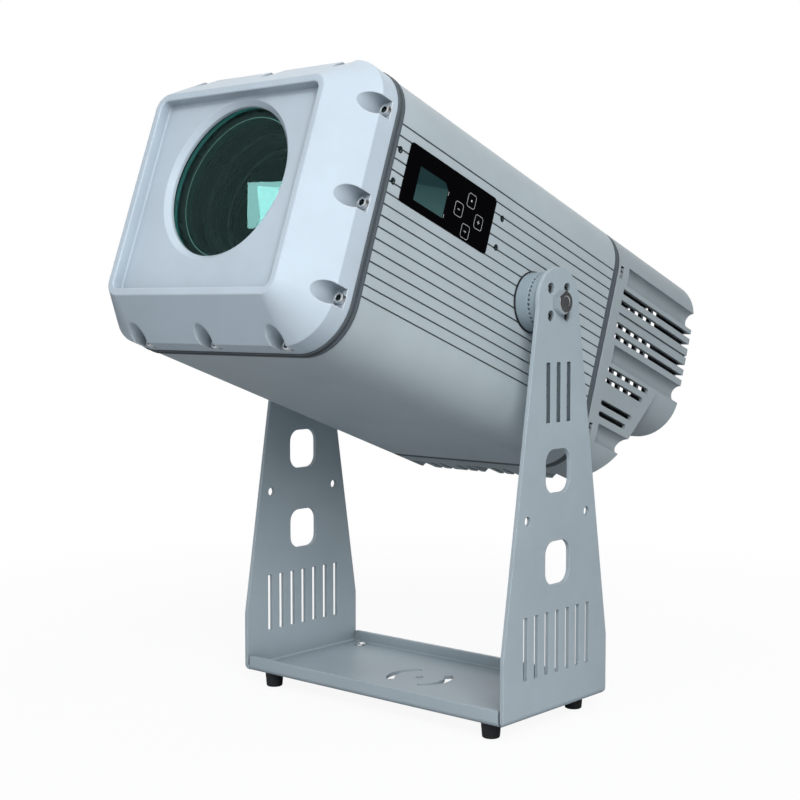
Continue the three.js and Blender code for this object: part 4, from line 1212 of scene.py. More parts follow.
@dataclass
class Stand(Assembly):
    """The stand: one folded sheet, four rubber feet and their screws."""

    arm_outer: float = ARM_OUTER
    depth: float = 163.0
    sheet: float = 4.0
    fold: float = 6.0
    lip_fold: float = 5.0
    pivot_rise: float = 374.7
    shoulder: float = 58.0
    crown: float = 32.0
    lip_height: float = 15.0
    lip_half: float = 158.8
    edge_round: float = 0.45
    foot_inset: Point = (26.0, 16.5)
    slot_rows: tuple[tuple[int, float, float, float], ...] = ((7, 16.3, 36.0, 93.5), (3, 16.0, 266.0, 320.4))
    slot_half: float = 3.0
    window_rises: Point = (137.7, 221.7)
    window_half: Point = (20.0, 19.0)
    edge_hole: Point = (180.0, 46.5)
    screw_half: float = 12.5
    arc_slot: Point = (33.0, 25.0)
    arc_span: float = math.radians(54.0)

    def build(self, bench: Bench) -> None:
        """Makes the stand's pieces."""
        shade = Coating("slot_shade", (0.11, 0.14, 0.16), 0.5, edge_share=0.05).material()
        sheet = self._folded(self._flat())
        lining = (shade, self._in_slot)
        nodes = ["stand_bracket"]
        bench.piece("folded_bracket", sheet, ON_STAND, Slot.STAND, nodes, 24.0, lining=lining)
        names = ["front_left", "front_right", "rear_left", "rear_right"]
        feet = set_out(self._foot(), self._corners(-FOOT_HEIGHT), UP, 0.0, 3, bench.material(Slot.FOOT))
        nodes = [f"rubber_foot_{name}" for name in names]
        bench.piece("rubber_feet", feet, ON_STAND, Slot.FOOT, nodes)
        steel = bench.material(Slot.STEEL)
        screws = set_out(self._screw(), self._corners(self.sheet + SEAT), UP, TURN, 3, steel)
        nodes = [f"foot_screw_{name}" for name in names]
        bench.piece("tray_screws", screws, ON_STAND, Slot.STEEL, nodes)

    def _in_slot(self, centre: Vector, normal: Vector) -> bool:
        """Whether a face is a wall of the arms' upper slots, which the photograph shows dark."""
        row = 264.0 < centre.z < 322.0 and abs(centre.y) < 21.0
        return row and abs(normal.x) < 0.6

    def _arm_place(self, height: float) -> float:
        """Where a height of the arm lies on the flat sheet."""
        middle = self.fold - self.sheet / 2
        return self.arm_outer - self.fold + middle * QUARTER + (height - self.fold)

    def _outline(self) -> list[Point]:
        """The flat sheet's outline: tray, lips and arms, from its first quarter."""
        half = self.depth / 2
        lip_start = half - self.lip_fold
        lip_end = lip_start + (self.lip_fold - self.sheet / 2) * QUARTER + self.lip_height - self.lip_fold
        corner = 5.0
        base = self._arm_place(corner)
        crown = self._arm_place(self.pivot_rise)
        rise = crown - self._arm_place(self.shoulder)
        reach = math.hypot(half, rise)
        tangent = math.atan2(rise, half) - math.acos(self.crown / reach)
        clip = 1.5
        tip = self.lip_half
        quarter: list[Point] = [(0.0, lip_end), (tip - clip, lip_end)]
        quarter += [(tip, lip_end - clip), (tip, lip_start)]
        quarter += arc((base, half - corner), corner, math.pi, QUARTER, 6)
        quarter.append((self._arm_place(self.shoulder), half))
        quarter += arc((crown, 0.0), self.crown, QUARTER - tangent, 0.0, 20)
        lower = [(x, -y) for x, y in reversed(quarter[:-1])]
        right = quarter + lower
        left = [(-x, y) for x, y in reversed(right[1:-1])]
        return right + left

    def _holes(self) -> list[list[Point]]:
        """Every hole of the flat sheet."""
        holes: list[list[Point]] = []
        for side in (-1, 1):
            holes += [[(side * x, y) for x, y in hole] for hole in self._arm_holes()]
        for side in (0.0, math.pi):
            holes.append(self._arc_slot(side))
        holes.append(circle(4.0, steps=24))
        return holes

    def _arm_holes(self) -> list[list[Point]]:
        """The holes of one arm: two slot rows, two windows, round holes and the pivot's holes."""
        place = self._arm_place
        holes: list[list[Point]] = []
        half = self.slot_half
        for count, pitch, low, high in self.slot_rows:
            for k in range(count):
                middle = (k - (count - 1) / 2) * pitch
                holes.append(rounded(place(low), place(high), middle - half, middle + half, 0.5, 2))
        up, across = self.window_half
        for rise in self.window_rises:
            holes.append(rounded(place(rise - up), place(rise + up), -across, across, 12.0, 8))
        height, offset = self.edge_hole
        reach = self.screw_half
        for side in (-1, 1):
            holes.append(circle(4.25, (place(height), side * offset), 24))
            for other in (-1, 1):
                holes.append(circle(5.0, (place(self.pivot_rise + side * reach), other * reach), 24))
        holes.append(circle(6.3, (place(self.pivot_rise), 0.0), 32))
        return holes

    def _arc_slot(self, facing: float) -> list[Point]:
        """One curved slot of the tray, round its centre hole."""
        outer, inner = self.arc_slot
        first, last = facing - self.arc_span, facing + self.arc_span
        return arc((0.0, 0.0), outer, first, last, 16) + arc((0.0, 0.0), inner, last, first, 16)

    def _flat(self) -> Mesh:
        """The flat sheet as a filled curve with its thickness and rounded edges."""
        curve = bpy.data.curves.new("flat", "CURVE")
        curve.dimensions = "2D"
        curve.fill_mode = "BOTH"
        curve.bevel_depth = self.edge_round
        curve.bevel_resolution = 2
        curve.offset = -self.edge_round
        curve.extrude = self.sheet / 2 - self.edge_round
        for line in [self._outline(), *self._holes()]:
            spline = curve.splines.new("POLY")
            spline.points.add(len(line) - 1)
            for point, (x, y) in zip(spline.points, line):
                point.co = (x, y, 0.0, 1.0)
            spline.use_cyclic_u = True
        thing = bpy.data.objects.new("flat", curve)
        bpy.context.scene.collection.objects.link(thing)
        return evaluated(thing)

    def _folded(self, flat: Mesh) -> Mesh:
        """The flat sheet with its arms and lips folded up.

        Args:
            flat: The flat sheet, its thickness centred on zero.

        Returns:
            The folded sheet, its tray's underside at zero.
        """
        shape = bmesh.new()
        shape.from_mesh(flat)
        bmesh.ops.remove_doubles(shape, verts=shape.verts, dist=1e-4)
        arm_start = self.arm_outer - self.fold
        arm_end = self._arm_place(self.fold)
        lip_start = self.depth / 2 - self.lip_fold
        lip_end = lip_start + (self.lip_fold - self.sheet / 2) * QUARTER
        steps = 8
        across, along = Vector((1, 0, 0)), Vector((0, 1, 0))
        for k in range(steps + 1):
            arm = arm_start + (arm_end - arm_start) * (k / steps)
            lip = lip_start + (lip_end - lip_start) * (k / steps)
            for side in (-1, 1):
                self._sliced(shape, across * side * arm, across)
                self._sliced(shape, along * side * lip, along)
        for vertex in shape.verts:
            vertex.co = self._bent(vertex.co)
        return meshed(shape)

    def _sliced(self, shape: bmesh.types.BMesh, place: Vector, normal: Vector) -> None:
        """Cuts new edges across the whole sheet on a plane."""
        whole = [*shape.verts, *shape.edges, *shape.faces]
        bmesh.ops.bisect_plane(shape, geom=whole, plane_co=place, plane_no=normal, dist=1e-5)

    def _bent(self, point: Vector) -> Vector:
        """Where a point of the flat sheet lies once it is folded."""
        level = point.z + self.sheet / 2
        lip_start = self.depth / 2 - self.lip_fold
        if abs(point.y) > lip_start and abs(point.x) < self.lip_half + 0.1:
            along, up = self._fold_line(abs(point.y) - lip_start, level, self.lip_fold)
            return Vector((point.x, math.copysign(lip_start + along, point.y), up))
        arm_start = self.arm_outer - self.fold
        if abs(point.x) > arm_start:
            along, up = self._fold_line(abs(point.x) - arm_start, level, self.fold)
            return Vector((math.copysign(arm_start + along, point.x), point.y, up))
        return Vector((point.x, point.y, level))

    def _fold_line(self, run: float, level: float, outer: float) -> Point:
        """How far along and up a point lies that is a run past the start of a fold.

        Args:
            run: The distance past the fold's start, on the flat sheet.
            level: The height above the sheet's outer face.
            outer: The fold's outer radius.

        Returns:
            The distance along and the height.
        """
        middle = outer - self.sheet / 2
        length = middle * QUARTER
        if run >= length:
            return outer - level, outer + run - length
        angle = run / middle
        return (outer - level) * math.sin(angle), outer - (outer - level) * math.cos(angle)

    def _corners(self, level: float) -> list[Vector]:
        """The four feet's places at one level."""
        x = self.arm_outer - self.foot_inset[0]
        y = self.depth / 2 - self.foot_inset[1]
        return [Vector((sx * x, sy * y, level)) for sy in (-1, 1) for sx in (-1, 1)]

    def _foot(self) -> Mesh:
        """A rubber foot: a tapered stub with a ring groove and a hollow underside."""
        height = 15.0
        hollow = [(0.0, 1.2), (4.0, 1.2, 0.4), (4.0, 0.0, 0.4), (8.0, 0.0, 1.4)]
        groove = [(8.7, 7.5, 0.3), (8.3, 8.2, 0.3), (8.9, 8.9, 0.3)]
        return lathed(filleted([*hollow, *groove, (9.2, height, 0.6), (0.0, height)]), 40)

    def _screw(self) -> Mesh:
        """A dome-headed screw with a cross recess."""
        head = [(0.0, 3.2), (3.6, 3.0, 2.0), (6.6, 1.2, 1.5), (7.0, 0.0, 0.2)]
        shank = [(3.0, 0.0), (3.0, -4.3, 0.3), (0.0, -4.3)]
        long, short = 2.6, 0.6
        slots = [rounded(-w, w, -h, h, 0.0) for w, h in ((short, long), (long, short))]
        cross = [prism(slot, 1.4, 4.0, Axis.Z) for slot in slots]
        return combined(lathed(filleted([*head, *shank]), 32), cross, Cut.AWAY)


# Tilt pivots


@dataclass
class Pivots(Assembly):
    """Both tilt pivots: toothed discs, seals, clamp bolts and the screws of the discs."""

    arm_outer: float = ARM_OUTER
    head_side: float = HEAD_SIDE
    disc_radius: float = 27.3
    head_disc: float = 14.2
    split: float = 0.5
    arm_disc: float = 11.4
    teeth: int = 40
    bolt_flats: float = 19.0
    bolt_height: float = 7.6
    screw_square: float = 25.0
    screw_sink: float = 0.8
    bolt_bore: float = 6.3

    def build(self, bench: Bench) -> None:
        """Makes the pivots' pieces on both sides."""
        oxide = Metal("black_oxide", (0.3, 0.31, 0.32), 0.2, line_depth=FINE_LINES).material()
        cast = Coating("disc_paint", (0.28, 0.345, 0.385), 0.4, grain_strength=0.2).material()
        rubber = bench.material(Slot.FOOT)
        for side, turn in (("right", TO_RIGHT), ("left", TO_LEFT)):
            fixed = Seat(PIVOT_FRAME @ turn, Body.STAND)
            tilting = Seat(HEAD_FRAME @ turn, Body.HEAD)
            disc, bolt, other = [[f"{node}_{side}"] for node in ("arm_disc", "clamp_bolt", "head_disc")]
            bench.piece(f"toothed_disc_{side}", self._arm_disc(bench), fixed, Slot.BODY, disc, material=cast)
            bench.piece(f"clamp_bolt_hex_{side}", self._bolt(), fixed, Slot.STEEL, bolt)
            bench.piece(f"disc_screws_{side}", self._disc_screws(bench), fixed, Slot.STEEL, material=oxide)
            bench.piece(f"plain_disc_{side}", self._head_disc(), tilting, Slot.BODY, other, material=cast)
            bench.piece(f"disc_seal_{side}", self._seal(), tilting, Slot.SEAL, material=rubber)

    @property
    def arm_disc_start(self) -> float:
        """Where the disc on the arm starts, seen from the middle."""
        return self.head_side + self.head_disc + self.split

    def _arm_disc(self, bench: Bench) -> Mesh:
        """The disc on the arm, with a ring of teeth at its inner end."""
        start = self.arm_disc_start
        end = start + self.arm_disc
        radius = self.disc_radius
        bore = self.bolt_bore
        root = radius - 4.0
        step = start + 1.9
        near = [(bore, start), (root, start, 0.1), (root, step)]
        disc = collar([*near, (radius, step, 0.3), (radius, end, 0.6), (bore, end)])
        root_end, flank, half = -4.2, -0.2, 1.1
        outline = [(root_end, -half), (flank, -half), (0.0, 0.0), (flank, half), (root_end, half)]
        tooth = prism(outline, start, start + 2.0, Axis.Z)
        finish = bench.material(Slot.BODY)
        return grown(disc, parts_in_ring, tooth, Count=self.teeth, Radius=radius, Finish=finish)

    def _head_disc(self) -> Mesh:
        """The plain disc on the head."""
        start = self.head_side
        end = start + self.head_disc
        radius = self.disc_radius
        bore = self.bolt_bore
        return collar([(bore, start), (radius, start, 0.3), (radius, end, 0.8), (bore, end)])

    def _seal(self) -> Mesh:
        """The thin black seal between the disc and the housing."""
        start = self.head_side + 0.1
        end = start + 1.4
        inner = self.disc_radius + 0.1
        outer = self.disc_radius + 1.1
        return collar([(inner, start), (outer, start, 0.3), (outer, end, 0.6), (inner, end)])

    def _bolt(self) -> Mesh:
        """The hexagon bolt: a chamfered head with a dished face, and its shank."""
        seat = self.arm_outer + SEAT
        end = seat + self.bolt_height
        reach = self.bolt_flats / math.sqrt(3) + 0.6
        flats = self.bolt_flats / 2
        dish = [(0.0, end - 0.5), (5.2, end - 0.5, 0.2), (5.9, end, 0.2)]
        chamfer = [(flats - 0.2, end, 0.4), (reach, end - 1.3, 0.2), (reach, seat)]
        blank = lathed(filleted([*dish, *chamfer, (0.0, seat)]), 64)
        prismatic = prism(hexagon(self.bolt_flats), seat, end + 1.0, Axis.Z)
        head = softened(combined(prismatic, [blank], Cut.COMMON), 0.25, 30.0)
        low, high = self.head_side - 4.0, seat + 0.4
        shank = lathed([(0.0, low), (6.0, low), (6.0, high), (0.0, high)], 32)
        return joined([head, shank])

    def _disc_screws(self, bench: Bench) -> Mesh:
        """The four socket screws that hold the disc to the arm, sunk in the arm's holes."""
        half = self.screw_square / 2
        level = self.arm_disc_start + self.arm_disc - self.screw_sink
        places = [Vector((x * half, y * half, level)) for x in (-1, 1) for y in (-1, 1)]
        return set_out(cap_screw(8.4, 3.4, 4.6, 3.0), places, UP, TURN, 11, bench.material(Slot.STEEL))


def cap_screw(head: float, height: float, socket: float, shank: float) -> Mesh:
    """A socket-head screw with its seat at zero and its head above; the faces inside its socket are marked to
    be painted dark as shade.

    Args:
        head: The head's diameter.
        height: The head's height.
        socket: The socket's width across the flats.
        shank: How far the shank reaches below the seat.

    Returns:
        The screw, along Z.
    """
    radius = head / 2
    thread = radius * 0.58
    cap = [(0.0, height), (radius, height, radius * 0.14), (radius, 0.0, radius * 0.05)]
    profile = filleted([*cap, (thread, 0.0), (thread, -shank, 0.3), (0.0, -shank)], 3)
    bore = prism(hexagon(socket), height * 0.2, height + 2.0, Axis.Z)
    low, high = height - 0.3, height + 0.3
    mouth = lathed([(0.0, low), (socket * 0.56, low), (socket * 0.68, high), (0.0, high)], 24)
    screw = combined(lathed(profile, 40), [bore, mouth], Cut.AWAY)
    # Marks the socket's inner faces for painted shade.
    reach = socket * 0.6
    depths = [face.center.z if face.center.xy.length < reach else 0.0 for face in screw.polygons]
    marks = screw.attributes.new(SOCKET_SHADE, "BOOLEAN", "FACE")
    marks.data.foreach_set("value", [0.0 < depth < height - 0.35 for depth in depths])
    return screw


# Housing


@dataclass
class Housing(Assembly):
    """The extruded housing with its seals and the small screws of its right-hand side."""

    front: float = HOUSING_FRONT
    rear: float = HOUSING_REAR
    wall: float = 3.5
    groove_count: int = 16
    groove_pitch: float = 10.0
    groove_top: float = 76.0
    groove_width: float = 1.3
    groove_depth: float = 2.1
    seal_depth: float = SEAL_DEPTH
    port_radius: float = 6.5
    panel: Box = PANEL_BOX
    side_screws: tuple[Point, ...] = ((-214.6, 55.0), (-214.6, 27.4), (-67.4, 54.6), (-67.4, 27.2))
    screw_sink: float = 1.6

    def build(self, bench: Bench) -> None:
        """Makes the housing's pieces."""
        bench.piece("grooved_housing", self._tube(), ON_HEAD, Slot.BODY, ["housing"], 25.0)
        bench.piece("front_seal", self._front_seal(), ON_HEAD, Slot.SEAL, ["front_gasket"])
        bench.piece("rear_seal", self._rear_seal(), ON_HEAD, Slot.SEAL, ["rear_gasket"])
        black = bench.material(Slot.BLACK_METAL)
        bench.piece("side_screws", self._side_screws(bench), ON_HEAD, Slot.STEEL, material=black)

    def _grooved(self) -> list[Point]:
        """The section with its side grooves, their mouths slightly opened."""
        half_width = SECTION.half_width
        radius = SECTION.corner
        centres_x = half_width - radius
        steps = 16
        rises = [self.groove_top - k * self.groove_pitch for k in range(self.groove_count)]
        half = self.groove_width / 2
        floor = half_width - self.groove_depth
        lip = 0.25
        points = arc((centres_x, SECTION.top - radius), radius, 0.0, QUARTER, steps)
        points += arc((-centres_x, SECTION.top - radius), radius, QUARTER, math.pi, steps)
        groove = [(half_width, half + lip), (half_width - lip, half), (floor, half)]
        groove += [(x, -y) for x, y in reversed(groove)]
        for rise in rises:
            points += [(-x, rise + y) for x, y in groove]
        points += arc((-centres_x, SECTION.low + radius), radius, math.pi, math.pi + QUARTER, steps)
        points += arc((centres_x, SECTION.low + radius), radius, math.pi + QUARTER, TURN, steps)
        for rise in reversed(rises):
            points += [(x, rise - y) for x, y in groove]
        return points

    def _tube(self) -> Mesh:
        """The tube: grooved outside, with a port for each screw inside, open at the panel."""
        front, rear = self.front - OVERRUN, self.rear + OVERRUN
        ports = SECTION.bored(self.port_radius, front, rear, 24)
        hollow = combined(prism(SECTION.outline(-self.wall), front, rear, Axis.Y), ports, Cut.AWAY)
        tube = prism(self._grooved(), self.front, self.rear, Axis.Y)
        side = SECTION.half_width
        opening = prism(rounded(*self.panel, 4.0, 5), side - self.wall - OVERRUN, side + OVERRUN, Axis.X)
        bores = SECTION.bored(SCREW_BORE, front, self.front + 30.0)
        seats = [circle(3.1, place, 24) for place in self.side_screws]
        sockets = [prism(seat, side - self.screw_sink, side + 4.0, Axis.X) for seat in seats]
        return combined(tube, [hollow, opening, *bores, *sockets], Cut.AWAY)

    def _side_screws(self, bench: Bench) -> Mesh:
        """The dark screws beside the panel."""
        side = SECTION.half_width - self.screw_sink
        places = [Vector((side, along, up)) for along, up in self.side_screws]
        screw = cap_screw(5.6, 1.5, 2.5, 1.0)
        return set_out(screw, places, (1, 0, 0), TURN, 5, bench.material(Slot.BLACK_METAL))

    def _front_seal(self) -> Mesh:
        """The front seal: two proud round ribs with a groove between them."""
        start = self.front - self.seal_depth
        end = self.front - SEAT
        rib = 0.9
        inner = -11.0
        sunk = -0.6
        front_rib = [(inner, start), (rib, start, 0.8), (rib, start + 3.0, 0.8), (sunk, start + 3.4, 0.2)]
        rear_rib = [(sunk, end - 3.4, 0.2), (rib, end - 3.0, 0.8), (rib, end, 0.8), (inner, end)]
        across = filleted([*front_rib, *rear_rib], 3)
        return lofted([SECTION.ring(growth, place) for growth, place in across], closed=True)

    def _rear_seal(self) -> Mesh:
        """The rear seal: a plain band with a shallow groove."""
        start = self.rear + SEAT
        end = self.rear + self.seal_depth
        middle = (start + end) / 2
        inner, outer = -11.0, -0.1
        near = [(inner, start), (outer, start, 0.5), (outer, middle - 0.8, 0.3)]
        far = [(outer, middle + 0.8, 0.3), (outer, end, 0.5), (inner, end)]
        across = filleted([*near, (-0.9, middle, 0.3), *far], 3)
        return lofted([SECTION.ring(growth, place) for growth, place in across], closed=True)


# Front bezel


@dataclass
class Bezel(Assembly):
    """The cast bezel, its screws, the window and the ring that holds it."""

    back: float = BEZEL_BACK
    flange: float = 19.5
    taper_run: float = 37.6
    taper_inset: float = 30.8
    rim: float = 6.5
    recess: float = 10.0
    floor: float = 7.6
    land: float = 22.0
    opening: float = 68.0
    chamfer: float = 4.5
    pocket: float = 9.0
    pocket_seat: float = 7.0
    glass_radius: float = 74.0
    glass_thickness: float = 4.0

    def build(self, bench: Bench) -> None:
        """Makes the bezel's pieces."""
        bench.piece("dished_bezel", self._casting(), ON_HEAD, Slot.BEZEL, ["front_bezel"], 28.0)
        screws = [f"bezel_screw_{k + 1}" for k in range(len(SECTION.screws()))]
        bright = Metal("bright_steel", (0.93, 0.94, 0.95), 0.34, line_depth=FINE_LINES).material()
        bench.piece("bezel_cap_screws", self._screws(bench), ON_HEAD, Slot.STEEL, screws, material=bright)
        bench.piece("window", self._window(), ON_AXIS, Slot.GLASS, ["front_glass"])
        # The black ring's pale edges are painted highlights, thin bright arcs round the opening.
        black = Coating("ring_black", (0.005, 0.014, 0.016), 0.3, edge_share=0.7, hollow_share=0.0).material()
        # Painted reflection: the ring's faces towards the axis are teal.
        teal = Coating("coated_edge", (0.12, 0.6, 0.56), 0.2, edge_share=0.2, hollow_share=0.0).material()
        finish = {"material": black, "lining": (teal, self._in_mouth)}
        bench.piece("window_ring", self._ring(), ON_AXIS, Slot.ALUMINIUM, ["glass_ring"], **finish)

    @staticmethod
    def _in_mouth(centre: Vector, normal: Vector) -> bool:
        """Whether a face of the ring faces the light's axis, where a teal reflection is painted."""
        return normal.xy.dot(centre.xy) < -0.5 * centre.xy.length and centre.xy.length < 72.0

    @property
    def face(self) -> float:
        """The place of the front face."""
        return self.back - self.flange - self.taper_run

    @property
    def recess_floor(self) -> float:
        """The place of the recess's floor."""
        return self.face + self.recess

    @property
    def glass_front(self) -> float:
        """The place of the window's front."""
        return self.recess_floor + self.floor + SEAT

    def _casting(self) -> Mesh:
        """The bezel as one loft: flange, taper, rim, recess, lens opening and hollow back."""
        inner = -self.taper_inset - self.rim
        floor = self.recess_floor
        outside = filleted(
            [
                (0.0, self.back),
                (0.0, self.back - self.flange, 0.8),
                (-self.taper_inset, self.face, 1.6),
                (inner, self.face, 1.2),
                (inner - 0.6, floor, 1.4),
                (inner - 6.0, floor),
            ]
        )
        wide = self.opening + self.chamfer
        chamfer = [(wide + 1.2, floor), (wide, floor, 0.5), (self.opening, floor + self.chamfer, 0.5)]
        mouth = filleted([*chamfer, (self.opening, floor + self.floor)], 3)
        rings = [SECTION.ring(growth, place) for growth, place in outside[:-1]]
        rings += [SECTION.round_ring(radius, LENS_RISE, place) for radius, place in mouth]
        rings += [SECTION.ring(-self.land, place) for place in (floor + self.floor, self.back)]
        shell = lofted(rings, closed=True)
        pockets = SECTION.bored(self.pocket, self.face - 5.0, self.back - self.pocket_seat, 40)
        bores = SECTION.bored(SCREW_BORE, self.back - self.pocket_seat - 2.0, self.back + 2.0)
        return combined(softened(combined(shell, pockets, Cut.AWAY), 0.7, 34.0), bores, Cut.AWAY)

    def _screws(self, bench: Bench) -> Mesh:
        """The bezel's socket screws."""
        seat = self.back - self.pocket_seat - SEAT
        places = [Vector((across, seat, up)) for across, up in SECTION.screws()]
        screw = cap_screw(9.4, 4.2, 5.2, 6.0)
        return set_out(screw, places, (0, -1, 0), TURN, 2, bench.material(Slot.STEEL))

    def _window(self) -> Mesh:
        """The flat window with ground edges."""
        front = self.glass_front
        back = front + self.glass_thickness
        edge = self.glass_radius
        return lathed(filleted([(0.0, front), (edge, front, 0.4), (edge, back, 0.4), (0.0, back)], 2), 96)

    def _ring(self) -> Mesh:
        """The ring behind the window, with a skirt round the glass."""
        front = self.glass_front
        back = front + self.glass_thickness + SEAT
        end = back + 4.0
        bore = self.glass_radius + SEAT
        skirt = [(bore, front), (78.0, front, 0.2), (78.0, end, 0.6)]
        return collar([*skirt, (70.0, end, 0.6), (70.0, back, 0.3), (bore, back)])


# Lenses and what turns behind them

INSIDE: dict[Slot, tuple[str, ...]] = {
    Slot.ALUMINIUM: (
        "optical_bench",
        "barrel_plate",
        "gobo_gate",
        "condenser_holder",
        "lamp_plate",
        "heat_sink",
        "closing_plate",
        "lamp_driver",
    ),
    Slot.BLACK_METAL: ("gobo_motor", "gobo_wheel"),
    Slot.GLASS: ("condenser_lens",),
    Slot.BLACK_PLASTIC: ("fan_frame", "fan_rotor"),
    Slot.LAMP: ("lamp_module",),
    Slot.CIRCUIT: ("control_board",),
}


@dataclass
class Optics(Assembly):
    """The barrel, the focus tube and its lens, the gobos, the heat sink and the fan."""

    gobo_count: int = 4
    barrel_front: float = -256.0
    barrel_length: float = 106.0
    barrel_bore: float = 62.0
    barrel_outer: float = 66.0
    rim_outer: float = 64.8
    rim_length: float = 6.0
    tube_front: float = -236.0
    tube_length: float = 72.0
    tube_outer: float = 61.4
    tube_bore: float = 55.0
    shoulder_place: float = -206.0
    lens_radius: float = 54.4
    lens_edge: float = 6.0
    lens_crown: float = 9.0

    def build(self, bench: Bench) -> None:
        """Makes the lens pieces and dresses what stays inside the housing."""
        bench.piece("barrel", self._barrel(), ON_AXIS, Slot.BLACK_METAL, ["lens_barrel"])
        # Painted reflection: the rim is tinted dark teal, and its front faces carry a painted glint.
        rim = Coating("coated_rim", (0.006, 0.045, 0.045), 0.25).material()
        glint = Coating("rim_glint", (0.5, 0.8, 0.77), 0.3, hollow_share=0.0).material()
        lining = (glint, self._faces_front)
        bench.piece("barrel_rim", self._rim(), ON_AXIS, Slot.BLACK_METAL, material=rim, lining=lining)
        bench.piece("focus_sleeve", self._sleeve(), IN_FOCUS, Slot.BLACK_METAL, ["focus_tube"])
        clip = Metal("clip_ring", (0.3, 0.36, 0.35), 0.35).material()
        bench.piece("focus_ring", self._lens_ring(), IN_FOCUS, Slot.ALUMINIUM, material=clip)
        coated = Glass("coated_lens", (0.8, 0.95, 0.93), (0.03, 0.14, 0.13), ior=1.13).material()
        bench.piece("front_lens", self._lens(), IN_FOCUS, Slot.GLASS, ["focus_lens"], material=coated)
        for slot, nodes in INSIDE.items():
            for node in nodes:
                bench.dress(node, slot)
        mask = Metal("etched_gobo", (0.05, 0.06, 0.06), 0.3, line_scale=4000.0).material()
        for number in range(self.gobo_count):
            bench.dress(f"gobo_{number + 1}", Slot.GLASS, mask)

    @staticmethod
    def _faces_front(centre: Vector, normal: Vector) -> bool:
        """Whether a face looks out through the window."""
        return normal.z < -0.9

    def _barrel(self) -> Mesh:
        """The barrel, with stepped rings inside its front end."""
        front = self.barrel_front
        rear = front + self.barrel_length
        bore = self.barrel_bore
        seat = self.rim_outer + 0.1
        outer = self.barrel_outer
        line: list[Point] = [(seat, front), (seat, front + self.rim_length)]
        for k in range(2):
            start = front + self.rim_length + 2.0 + k * 2.6
            reach = bore + 1.4 - k * 0.6
            line += [(reach, start - 2.0), (reach, start)]
        line += [(bore, self.tube_front - 8.0), (bore, rear), (outer, rear), (outer, front)]
        return collar([(*point, 0.2) for point in line], chords=2)

    def _rim(self) -> Mesh:
        """The glossy ring in the barrel's mouth, tinted dark teal as a painted reflection."""
        start = self.barrel_front + 0.2
        end = self.barrel_front + self.rim_length
        inner = self.barrel_bore + 0.9
        outer = self.rim_outer
        return collar([(inner + 1.0, start), (outer, start, 0.3), (outer, end), (inner, end)])

    def _sleeve(self) -> Mesh:
        """The sliding tube, with light traps in its bore and a shoulder behind the lens."""
        front = self.tube_front
        rear = front + self.tube_length
        bore = self.tube_bore
        throat = bore - 4.0
        shoulder = self.shoulder_place
        line: list[Point] = [(bore + 3.0, front)]
        traps = 5
        lens_front = shoulder - self.lens_edge - self.lens_crown
        pitch = (lens_front - front) / (traps + 1)
        for k in range(traps):
            start = front + pitch * (k + 0.5)
            line += [(bore + 1.6, start), (bore + 0.2, start + 0.6), (bore + 0.2, start + 1.6)]
        line += [(bore, lens_front), (bore, shoulder), (throat, shoulder), (throat, shoulder + 4.0)]
        line += [(bore, shoulder + 4.0), (bore, rear), (self.tube_outer, rear), (self.tube_outer, front)]
        return lathed(line, 96, closed=True)

    def _lens_ring(self) -> Mesh:
        """The thin bright ring that holds the lens in its tube."""
        back = self.shoulder_place - self.lens_edge - 0.6
        start = back - 1.8
        inner, outer = 53.2, 54.7
        return collar([(inner, start), (outer, start, 0.2), (outer, back, 0.2), (inner, back)], chords=2)

    def _lens(self) -> Mesh:
        """The front lens: a spherical front, a straight edge and a flat rear."""
        radius = self.lens_radius
        back = self.shoulder_place - SEAT
        sphere = (radius**2 + self.lens_crown**2) / (2 * self.lens_crown)
        half = math.asin(radius / sphere)
        top = back - self.lens_edge - self.lens_crown
        steps = 14
        angles = [half * k / steps for k in range(steps + 1)]
        profile = [(sphere * math.sin(a), top + sphere * (1 - math.cos(a))) for a in angles]
        return lathed([*profile, (radius, back), (0.0, back)], 96)


# Control panel


